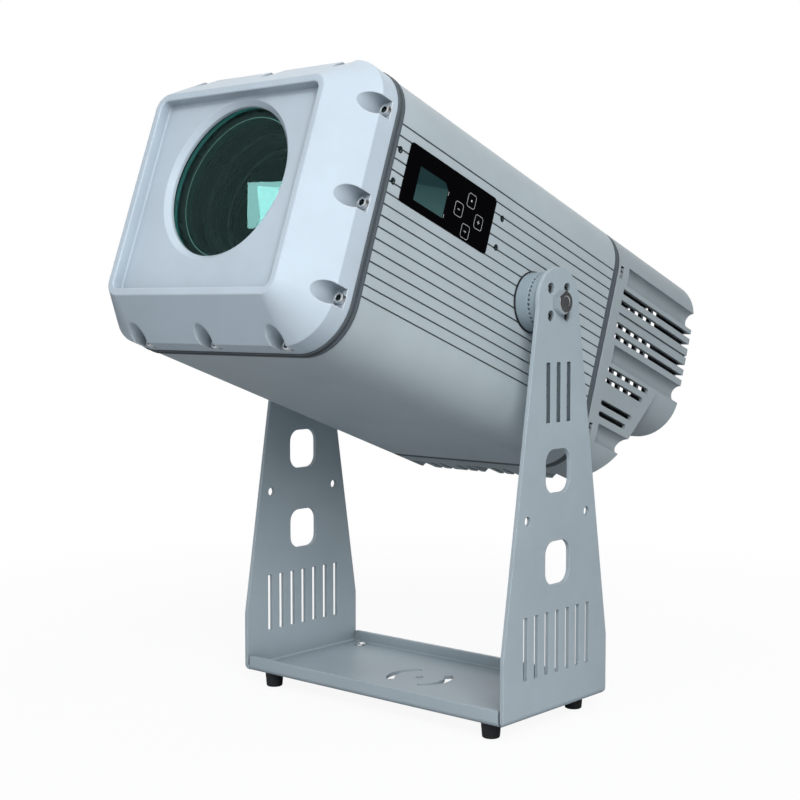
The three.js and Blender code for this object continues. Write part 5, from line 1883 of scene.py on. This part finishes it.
@dataclass
class Panel(Assembly):
    """The black overlay with its display window, the display and the outlines of its touch keys."""

    box: Box = PANEL_BOX
    face: float = 134.7
    thickness: float = 3.0
    glass: Box = (-186.5, -146.5, 23.0, 53.0)
    clip: float = 5.0
    key_size: Point = (11.5, 12.6)
    key_places: tuple[Point, ...] = ((-114.0, 52.0), (-128.3, 38.5), (-99.1, 37.9), (-114.0, 23.6))
    ink: float = 0.06

    def build(self, bench: Bench) -> None:
        """Makes the panel's pieces."""
        bench.piece("overlay", self._overlay(), ON_HEAD, Slot.PANEL, ["control_panel"])
        screen = self._screen().material()
        bench.piece("display_glass", self._display(), ON_HEAD, Slot.SCREEN, ["display"], material=screen)
        ink = Coating("key_ink", (0.62, 0.64, 0.64), 0.5, FILM_GRAIN, edge_share=0.0).material()
        bench.piece("key_outlines", self._keys(), ON_HEAD, Slot.PANEL, material=ink)

    def _overlay(self) -> Mesh:
        """The plate, its window's rear top corner cut off."""
        face = self.face
        front, rear, low, high = self.box
        outline = rounded(front + SEAT, rear - SEAT, low + SEAT, high - SEAT, 3.7, 6)
        plate = prism(outline, face - self.thickness, face, Axis.X)
        window = prism(self._window(0.15), face - 8.0, face + 4.0, Axis.X)
        return softened(combined(plate, [window], Cut.AWAY), 0.2, 40.0)

    def _window(self, gap: float) -> list[Point]:
        """The display's outline with one corner cut off, grown by a gap."""
        front, rear, low, high = self.glass
        return [
            (front - gap, low - gap),
            (rear + gap, low - gap),
            (rear + gap, high - self.clip),
            (rear - self.clip, high + gap),
            (front - gap, high + gap),
        ]

    def _display(self) -> Mesh:
        """The display's glass, slightly below the overlay's face."""
        return softened(prism(self._window(0.0), self.face - 6.0, self.face - 0.25, Axis.X), 0.15, 40.0)

    def _screen(self) -> Screen:
        """The display's finish, with the diagonal edge of its painted reflection set across the glass."""
        front, rear, low, high = self.glass
        start = HEAD_FRAME @ Vector((self.face, front, low + (high - low) * 0.47))
        end = HEAD_FRAME @ Vector((self.face, rear, high - 4.0))
        run = (end - start).normalized()
        facing = run.cross(Vector((1, 0, 0))).normalized()
        if facing.z > 0:
            facing.negate()
        return Screen("display_face", (0.012, 0.035, 0.038), (0.055, 0.12, 0.12), start, facing)

    def _keys(self) -> Mesh:
        """The four key outlines with a small plain mark in each."""
        marks = [self._dot, self._bar, self._cross, self._bar]
        pieces: list[Mesh] = []
        for (along, up), mark in zip(self.key_places, marks):
            pieces.append(self._frame(along, up))
            pieces += mark(along, up)
        return joined([*pieces, *self._ticks()])

    def _ticks(self) -> list[Mesh]:
        """The short printed ticks beside the display's rear edge."""
        _, rear, low, high = self.glass
        return [self._mark(rear + 1.0, up, 0.22, 1.8) for up in (low + 2.2, high - self.clip - 2.6)]

    def _frame(self, along: float, up: float) -> Mesh:
        """One key's outline: a line round a rectangle with cut corners."""
        line = 0.42
        top = self.face + self.ink
        corners = ((0.0, self.face), (0.0, top), (line, top), (line, self.face))
        outlines = [(self._key_outline(along, up, inset), level) for inset, level in corners]
        rings = [[lifted(p, level, Axis.X) for p in outline] for outline, level in outlines]
        return lofted(rings, closed=True)

    def _key_outline(self, along: float, up: float, inset: float) -> list[Point]:
        """The cut-cornered rectangle of a key."""
        half_along = self.key_size[0] / 2 - inset
        half_up = self.key_size[1] / 2 - inset
        cut = 1.7 - inset * 0.6
        points: list[Point] = []
        for sx, sy in ((1, 1), (-1, 1), (-1, -1), (1, -1)):
            pair = [(sx * half_along, sy * (half_up - cut)), (sx * (half_along - cut), sy * half_up)]
            points += pair if sx * sy > 0 else pair[::-1]
        return [(along + a, up + b) for a, b in points]

    def _mark(self, along: float, up: float, half_along: float, half_up: float) -> Mesh:
        """A small filled rectangle of ink."""
        outline = rounded(along - half_along, along + half_along, up - half_up, up + half_up, 0.2, 2)
        return prism(outline, self.face, self.face + self.ink, Axis.X)

    def _dot(self, along: float, up: float) -> list[Mesh]:
        """A round mark."""
        return [prism(circle(1.0, (along, up), 20), self.face, self.face + self.ink, Axis.X)]

    def _bar(self, along: float, up: float) -> list[Mesh]:
        """A short bar."""
        return [self._mark(along, up, 1.7, 0.35)]

    def _cross(self, along: float, up: float) -> list[Mesh]:
        """A plus sign of three pieces that don't overlap."""
        pieces = [self._mark(along, up, 1.7, 0.35)]
        pieces += [self._mark(along, up + side * 1.05, 0.35, 0.65) for side in (-1, 1)]
        return pieces


# Rear cover


@dataclass
class Cover(Assembly):
    """The cast rear cover with its cooling slots and screw scoops, and the cable gland."""

    front: float = COVER_FRONT
    depth: float = 155.0
    wall: float = 4.0
    slant_place: float = 240.8
    slant_rise: float = -11.5
    slant_share: float = 0.612
    block_bottom: float = -50.0
    block_corner: float = 42.0
    scoop: float = 9.3
    scoop_front: float = 19.0
    slot_height: float = 5.3
    slot_front: float = 15.3
    slot_margin: float = 15.0
    open_slots: tuple[float, ...] = (63.0, 51.5, 28.5, 17.0)
    closed_slots: tuple[float, ...] = (-17.5, -29.0, -52.0, -63.5)
    edge_slots: tuple[float, ...] = (17.0, 30.5, 52.0, 65.5)
    rear_slot_count: int = 16
    rear_slot_pitch: float = 11.5
    rear_slot_half: float = 3.4
    rear_slot_ends: Point = (-6.0, 95.0)
    notch_front: float = 3.0
    notch_length: float = 6.0
    notch_half: float = 6.25
    gland_rise: float = -88.0
    gland_flats: float = 24.0
    gland_ribs: int = 12

    def build(self, bench: Bench) -> None:
        """Makes the cover's pieces."""
        # Painted shade: the cover's inner faces and its notches' walls are near black.
        dark = Coating("cover_lining", (0.016, 0.018, 0.02), 0.7).material()
        lining = (dark, self._inner_test())
        # The cover takes the body paint at 0.8 of its brightness.
        cast = Coating("cast_paint", toned(PAINT, 0.8), 0.42, grain_strength=0.25).material()
        finish = {"material": cast, "lining": lining}
        bench.piece("slotted_cover", self._casting(), ON_HEAD, Slot.BODY, ["rear_cover"], 28.0, **finish)
        slanted = Seat(self._slant(HEAD_FRAME), Body.HEAD)
        bench.piece("gland_nut", self._gland(), slanted, Slot.BLACK_PLASTIC, ["cable_gland"])
        bench.piece("gland_seal", self._gland_seal(), slanted, Slot.SEAL)
        bench.piece("cover_cap_screws", self._screws(bench), ON_HEAD, Slot.STEEL)

    @property
    def rear(self) -> float:
        """The cover's rear end."""
        return self.front + self.depth

    def slant_at(self, rise: float) -> float:
        """Where the slanted face cuts the cover at a rise."""
        return self.slant_place + self.slant_share * (rise - self.slant_rise)

    def _slant(self, frame: Matrix) -> Matrix:
        """The gland's place, its axis square to the slanted face, in a frame of the head."""
        lean = math.atan(self.slant_share)
        place = Matrix.Translation((0, self.slant_at(self.gland_rise), self.gland_rise))
        return frame @ place @ Matrix.Rotation(-lean, 4, "X") @ ALONG_HEAD

    def _form(self, inset: float, lead: float) -> Mesh:
        """The cover's solid form, drawn in by an inset; its open end runs on by the lead."""
        over = 8.0
        rear = self.rear - inset
        front = self.front - lead
        low = SECTION.low - over
        slide = inset * math.hypot(1.0, self.slant_share)
        side = [
            (front, low),
            (self.slant_at(low) - slide, low),
            (self.slant_at(self.slant_rise) - slide, self.slant_rise),
            (rear, self.slant_rise),
            (rear, SECTION.top + over),
            (front, SECTION.top + over),
        ]
        reach = SECTION.half_width + over
        length = prism(SECTION.outline(-inset), front, rear, Axis.Y)
        body = combined(length, [prism(side, -reach, reach, Axis.X)], Cut.COMMON)
        return combined(body, [self._block(inset, slide, rear)], Cut.JOIN)

    def _block(self, inset: float, slide: float, rear: float) -> Mesh:
        """The round-cornered block behind the slanted face."""
        across = SECTION.half_width - inset
        bottom = self.block_bottom + inset
        corner = self.block_corner - inset
        outline = [(-across, 0.0)]
        outline += arc((-across + corner, bottom + corner), corner, math.pi, math.pi + QUARTER, 14)
        outline += arc((across - corner, bottom + corner), corner, -QUARTER, 0.0, 14)
        outline.append((across, 0.0))
        return prism(outline, self.slant_at(self.block_bottom) - slide - self.block_corner, rear, Axis.Y)

    def _scoops(self, radius: float, front: float) -> list[Mesh]:
        """The channels along the outside, one behind each screw."""
        rear = self.rear + 8.0
        return [prism(circle(radius, axis, 40), front, rear, Axis.Y) for axis in self._scoop_axes()]

    def _scoop_axes(self) -> list[Point]:
        """Where the scoops run along the cover, one behind each screw."""
        axes: list[Point] = []
        for across, up in SECTION.screws():
            on_side = abs(across) > SECTION.edge_pitch
            x = math.copysign(SECTION.half_width, across) if on_side else across
            z = up if on_side else math.copysign(SECTION.half_height, up) - SECTION.drop
            axes.append((x, z))
        return axes

    def _inner_test(self) -> Inside:
        """The test that tells the cover's inner faces, and the walls of its notches, from its outer ones;
        those faces are painted dark as shade.
        """
        middle = Vector((0, (self.front + self.rear) / 2, 0))
        shape = bmesh.new()
        shape.from_mesh(self._form(0.0, 0.0))
        outside = BVHTree.FromBMesh(shape)
        shape.free()
        axes = self._scoop_axes()

        def holds(centre: Vector, normal: Vector) -> bool:
            """Whether a face lies in a notch, or under the wall and faces the middle."""
            along = centre.y - self.front - self.notch_front
            if self._in_notch(centre.x, centre.z) and 0.0 < along < self.notch_length:
                return abs(normal.x) < 0.9 or abs(centre.x) < SECTION.half_width - 1.0
            depth = outside.find_nearest(centre)[3]
            clear = min(math.dist((centre.x, centre.z), axis) for axis in axes) > self.scoop + self.wall / 2
            return clear and depth > self.wall * 0.85 and normal.dot(centre - middle) < 0

        return holds

    def _casting(self) -> Mesh:
        """The cover: an even wall with scoops, slots, notches and the gland's hole."""
        start = self.front + self.scoop_front
        walls = self._scoops(self.scoop + self.wall, start - self.wall)
        hollow = combined(self._form(self.wall, 8.0), walls, Cut.AWAY)
        outside = softened(self._form(0.0, 0.0), 1.8, 24.0, 3)
        cuts = [hollow, *self._scoops(self.scoop, start), *self._side_slots(), *self._edge_slots()]
        cuts += [*self._notches(), self._gland_hole()]
        cuts += SECTION.bored(SCREW_BORE, self.front - 2.0, start + 1.0)
        return combined(combined(outside, cuts, Cut.AWAY), [self._rear_slots()], Cut.AWAY)

    def _side_slots(self) -> list[Mesh]:
        """The cooling slots of both sides and the fine line among them."""
        meshes: list[Mesh] = []
        half = self.slot_height / 2
        start = self.front + self.slot_front
        rear = self.rear + OVERRUN
        opened = [rounded(start, rear, rise - half, rise + half, 0.8, 3) for rise in self.open_slots]
        ends = [(rise, self.slant_at(rise) - self.slot_margin) for rise in self.closed_slots]
        closed = [rounded(start, end, rise - half, rise + half, half - END_GAP, 8) for rise, end in ends]
        line = rounded(start, rear, 38.9, 41.1, 0.3, 2)
        for side in (-1, 1):
            meshes += [self._side_cut(outline, side, 9.0) for outline in opened + closed]
            meshes.append(self._side_cut(line, side, 2.2))
        return meshes

    def _side_cut(self, outline: Sequence[Point], side: int, depth: float) -> Mesh:
        """A cutter of one outline into one side of the cover."""
        inner, outer = sorted((side * (SECTION.half_width - depth), side * (SECTION.half_width + OVERRUN)))
        return prism(outline, inner, outer, Axis.X)

    def _edge_slots(self) -> list[Mesh]:
        """The slots of the top and the underside, in pairs between the scoops."""
        meshes: list[Mesh] = []
        start = self.front + 20.0
        half = self.slot_height / 2
        for middle in [side * place for side in (-1, 1) for place in self.edge_slots]:
            left, right = middle - half, middle + half
            upper = rounded(left, right, start, self.rear - self.wall - half, half - END_GAP, 6)
            lower = rounded(left, right, start, self.rear + OVERRUN, half - END_GAP, 6)
            meshes.append(prism(upper, SECTION.top - 8.0, SECTION.top + OVERRUN, Axis.Z))
            meshes.append(prism(lower, SECTION.low - OVERRUN, SECTION.low + 8.0, Axis.Z))
        return meshes

    def _rear_slots(self) -> Mesh:
        """The row of upright slots of the rear face, as one cutter."""
        half = self.rear_slot_half
        outline = rounded(-half, half, *self.rear_slot_ends, half - END_GAP, 6)
        slot = prism(outline, self.rear - 12.0, self.rear + OVERRUN, Axis.Y)
        empty = bpy.data.meshes.new("empty")
        return grown(empty, parts_in_row, slot, Count=self.rear_slot_count, Pitch=self.rear_slot_pitch)

    def _notches(self) -> list[Mesh]:
        """The square notches in the flange beside the outer screws of each side."""
        meshes: list[Mesh] = []
        start = self.front + self.notch_front
        for step in (-1, 1):
            middle = step * SECTION.side_pitch - SECTION.drop
            low, high = middle - self.notch_half, middle + self.notch_half
            outline = rounded(start, start + self.notch_length, low, high, 0.6, 3)
            meshes += [self._side_cut(outline, side, 8.0) for side in (-1, 1)]
        return meshes

    def _gland_hole(self) -> Mesh:
        """The hole in the slanted face that the gland passes."""
        hole = prism(circle(10.3, steps=40), -12.0, 8.0, Axis.Z)
        hole.transform(self._slant(Matrix()))
        return hole

    def _screws(self, bench: Bench) -> Mesh:
        """The screws that hold the cover's flange, in the notches of both sides."""
        seat = self.front + self.notch_front + 0.2
        places = [Vector((across, seat, up)) for across, up in SECTION.screws() if self._in_notch(across, up)]
        screw = cap_screw(8.4, 4.6, 4.4, 3.0)
        return set_out(screw, places, (0, 1, 0), TURN, 7, bench.material(Slot.STEEL))

    def _in_notch(self, across: float, up: float) -> bool:
        """Whether a screw place lies in one of the flange's notches."""
        return abs(across) > SECTION.edge_pitch and abs(up + SECTION.drop) > SECTION.side_pitch / 2

    def _gland(self) -> Mesh:
        """The gland: a hexagon against the wall, a ribbed dome nut and the thread inside."""
        nut = softened(prism(hexagon(self.gland_flats), SEAT, 6.3, Axis.Z), 0.5, 30.0)
        bore, inside, top = 5.2, -14.0, 20.0
        thread = [(bore, inside), (10.0, inside, 0.6), (10.0, 0.4), (10.6, 0.4)]
        cap = [(10.6, 6.4), (10.4, 12.0, 1.0), (9.2, 18.0, 2.0), (6.6, top, 0.8), (bore, top)]
        dome = collar([*thread, *cap], 64)
        rib = prism(rounded(-0.25, 0.25, -0.6, 0.6, 0.2, 2), 7.2, 15.6, Axis.Z)
        empty = bpy.data.meshes.new("empty")
        ribs = grown(empty, parts_in_ring, rib, Count=self.gland_ribs, Radius=10.3)
        return joined([nut, dome, ribs])

    def _gland_seal(self) -> Mesh:
        """The rubber insert that would grip a cable, empty here."""
        start, end = 2.0, 19.6
        inner, outer = 4.0, 5.1
        return collar([(inner, start), (outer, start, 0.2), (outer, end, 0.3), (inner, end)], 40, 2)


# Studio

WHITE: Colour = (1.0, 1.0, 1.0)


@dataclass
class Studio:
    """The camera, the floor, the world and the soft lamps."""

    camera_place: Vector = field(default_factory=lambda: Vector((0.9354, -1.1096, 0.3860)))
    camera_target: Vector = field(default_factory=lambda: Vector((-0.0144, -0.0161, 0.2947)))
    lens: float = 66.6
    floor_size: float = 30.0
    fade_start: float = 0.42
    fade_end: float = 1.1
    near_white: float = 0.92
    floor_bounce: Colour = (0.44, 0.45, 0.46)
    floor_seen: Colour = (0.95, 0.95, 0.95)
    ambient: float = 0.33
    sky: Colour = (0.90, 0.955, 1.0)
    dark_reach: Point = (0.35, 0.8)
    card_reach: Point = (0.955, 0.98)
    darkest: float = 0.05
    dark_side: Vector = field(default_factory=lambda: Vector((0.75, 0.62, 0.1)))
    softbox_place: Vector = field(default_factory=lambda: Vector((-1.508, -1.351, 1.553)))
    softbox_facing: Vector = field(default_factory=lambda: Vector((0.715, 0.496, -0.494)))
    softbox_across: Vector = field(default_factory=lambda: Vector((0.7, -0.55, 0.46)))
    softbox_size: Point = (0.12, 0.11)
    softbox_power: float = 0.62
    softbox_tint: Colour = (0.75, 1.0, 1.0)

    def build(self) -> None:
        """Makes everything that isn't part of the object."""
        self._camera()
        self._floor()
        self._world()
        self._lamps()

    def _camera(self) -> None:
        """The camera at the photograph's viewing angle."""
        data = bpy.data.cameras.new("camera")
        data.lens = self.lens
        data.sensor_width = 36.0
        data.clip_start = 0.05
        data.clip_end = 100.0
        camera = bpy.data.objects.new("camera", data)
        camera.location = self.camera_place
        camera.rotation_euler = (self.camera_target - self.camera_place).to_track_quat("-Z", "Y").to_euler()
        bpy.context.scene.collection.objects.link(camera)
        bpy.context.scene.camera = camera

    def _floor(self) -> None:
        """A white floor that keeps the shadow near the object and turns plain white further off."""
        half = self.floor_size / 2
        mesh = bpy.data.meshes.new("floor")
        corners = [(-half, -half, 0), (half, -half, 0), (half, half, 0), (-half, half, 0)]
        mesh.from_pydata(corners, [], [(0, 1, 2, 3)])
        floor = shown(mesh, "floor")
        surface = Surface("floor_white")
        path = surface.node("ShaderNodeLightPath")
        shade = surface.mixed(path.outputs["Is Camera Ray"], self.floor_bounce, self.floor_seen)
        surface.set(Base_Color=shade, Roughness=0.9)
        length = surface.node("ShaderNodeVectorMath", operation="LENGTH")
        surface.put(surface.place(), length.inputs[0])
        run = length.outputs["Value"]
        far = surface.ranged(run, self.fade_start, self.fade_end, self.near_white, 1.0)
        seen = surface.maths("MAXIMUM", path.outputs["Is Camera Ray"], path.outputs["Is Transmission Ray"])
        white = surface.feed(surface.node("ShaderNodeEmission"), Color=WHITE, Strength=1.0)
        mix = surface.node("ShaderNodeMixShader")
        parts = (surface.maths("MULTIPLY", far, seen), surface.shader.outputs[0], white.outputs[0])
        for part, socket in zip(parts, mix.inputs):
            surface.put(part, socket)
        surface.feed(surface.output, Surface=mix.outputs[0])
        mesh.materials.append(surface.material)

    def _world(self) -> None:
        """White to the eye and in mirrors but for two dark places, and a soft pale blue light."""
        world = bpy.data.worlds.new("studio")
        world.use_nodes = True
        bpy.context.scene.world = world
        tree = Tree(world.node_tree)
        world.node_tree.nodes.clear()
        path = tree.node("ShaderNodeLightPath")
        seen = tree.maths("MAXIMUM", path.outputs["Is Camera Ray"], path.outputs["Is Transmission Ray"])
        side = self._darkened(tree, self.dark_side, self.dark_reach)
        card = self._darkened(tree, -self.softbox_facing, self.card_reach)
        glossy = tree.maths("MULTIPLY", tree.maths("MULTIPLY", side, card), path.outputs["Is Glossy Ray"])
        matte = tree.maths("SUBTRACT", 1.0, tree.maths("MAXIMUM", seen, path.outputs["Is Glossy Ray"]))
        soft = tree.maths("MULTIPLY", matte, self.ambient)
        strength = tree.maths("ADD", tree.maths("MAXIMUM", seen, glossy), soft)
        colour = tree.mixed(matte, WHITE, self.sky)
        background = tree.feed(tree.node("ShaderNodeBackground"), Color=colour, Strength=strength)
        tree.feed(tree.node("ShaderNodeOutputWorld"), Surface=background.outputs[0])

    def _darkened(self, tree: Tree, direction: Vector, reach: Point) -> Link:
        """Full strength but for one direction, which mirrors show nearly black."""
        view = tree.node("ShaderNodeTexCoord").outputs["Generated"]
        nearness = tree.vectors("DOT_PRODUCT", view, direction.normalized()).outputs["Value"]
        return tree.ranged(nearness, *reach, 1.0, self.darkest)

    def _lamps(self) -> None:
        """A large key beside the camera, a weak top light, and a small softbox seen in the window."""
        self._lamp("key", Vector((1.9, -1.75, 1.7)), size=1.3, power=71.0)
        self._lamp("top", Vector((0.1, 0.5, 2.5)), size=1.8, power=5.0)
        data = bpy.data.lights.new("softbox", "AREA")
        data.shape = "RECTANGLE"
        data.size = self.softbox_size[0]
        data.size_y = self.softbox_size[1]
        data.energy = self.softbox_power
        data.color = self.softbox_tint
        lamp = bpy.data.objects.new("softbox", data)
        back = -self.softbox_facing.normalized()
        across = self.softbox_across.normalized()
        up = back.cross(across).normalized()
        across = up.cross(back)
        turn = Matrix((across, up, back)).transposed().to_4x4()
        lamp.matrix_world = Matrix.Translation(self.softbox_place) @ turn
        lamp.visible_diffuse = False
        bpy.context.scene.collection.objects.link(lamp)

    def _lamp(self, name: str, place: Vector, size: float, power: float) -> None:
        """One square soft lamp that faces the object's middle and shows in no reflection or glass."""
        data = bpy.data.lights.new(name, "AREA")
        data.size = size
        data.energy = power
        lamp = bpy.data.objects.new(name, data)
        lamp.location = place
        lamp.rotation_euler = (Vector((0, 0, 0.3)) - place).to_track_quat("-Z", "Y").to_euler()
        lamp.visible_glossy = False
        lamp.visible_transmission = False
        bpy.context.scene.collection.objects.link(lamp)


def main() -> None:
    """Builds the studio and every sub-assembly in order."""
    logging.basicConfig(level=logging.INFO, format="%(message)s")
    bpy.context.scene.view_settings.view_transform = "Standard"
    Studio().build()
    bench = Bench()
    for assembly in (Stand(), Pivots(), Housing(), Bezel(), Optics(), Panel(), Cover()):
        assembly.build(bench)
        log.info("%s done", type(assembly).__name__)


if __name__ == "__main__":
    main()
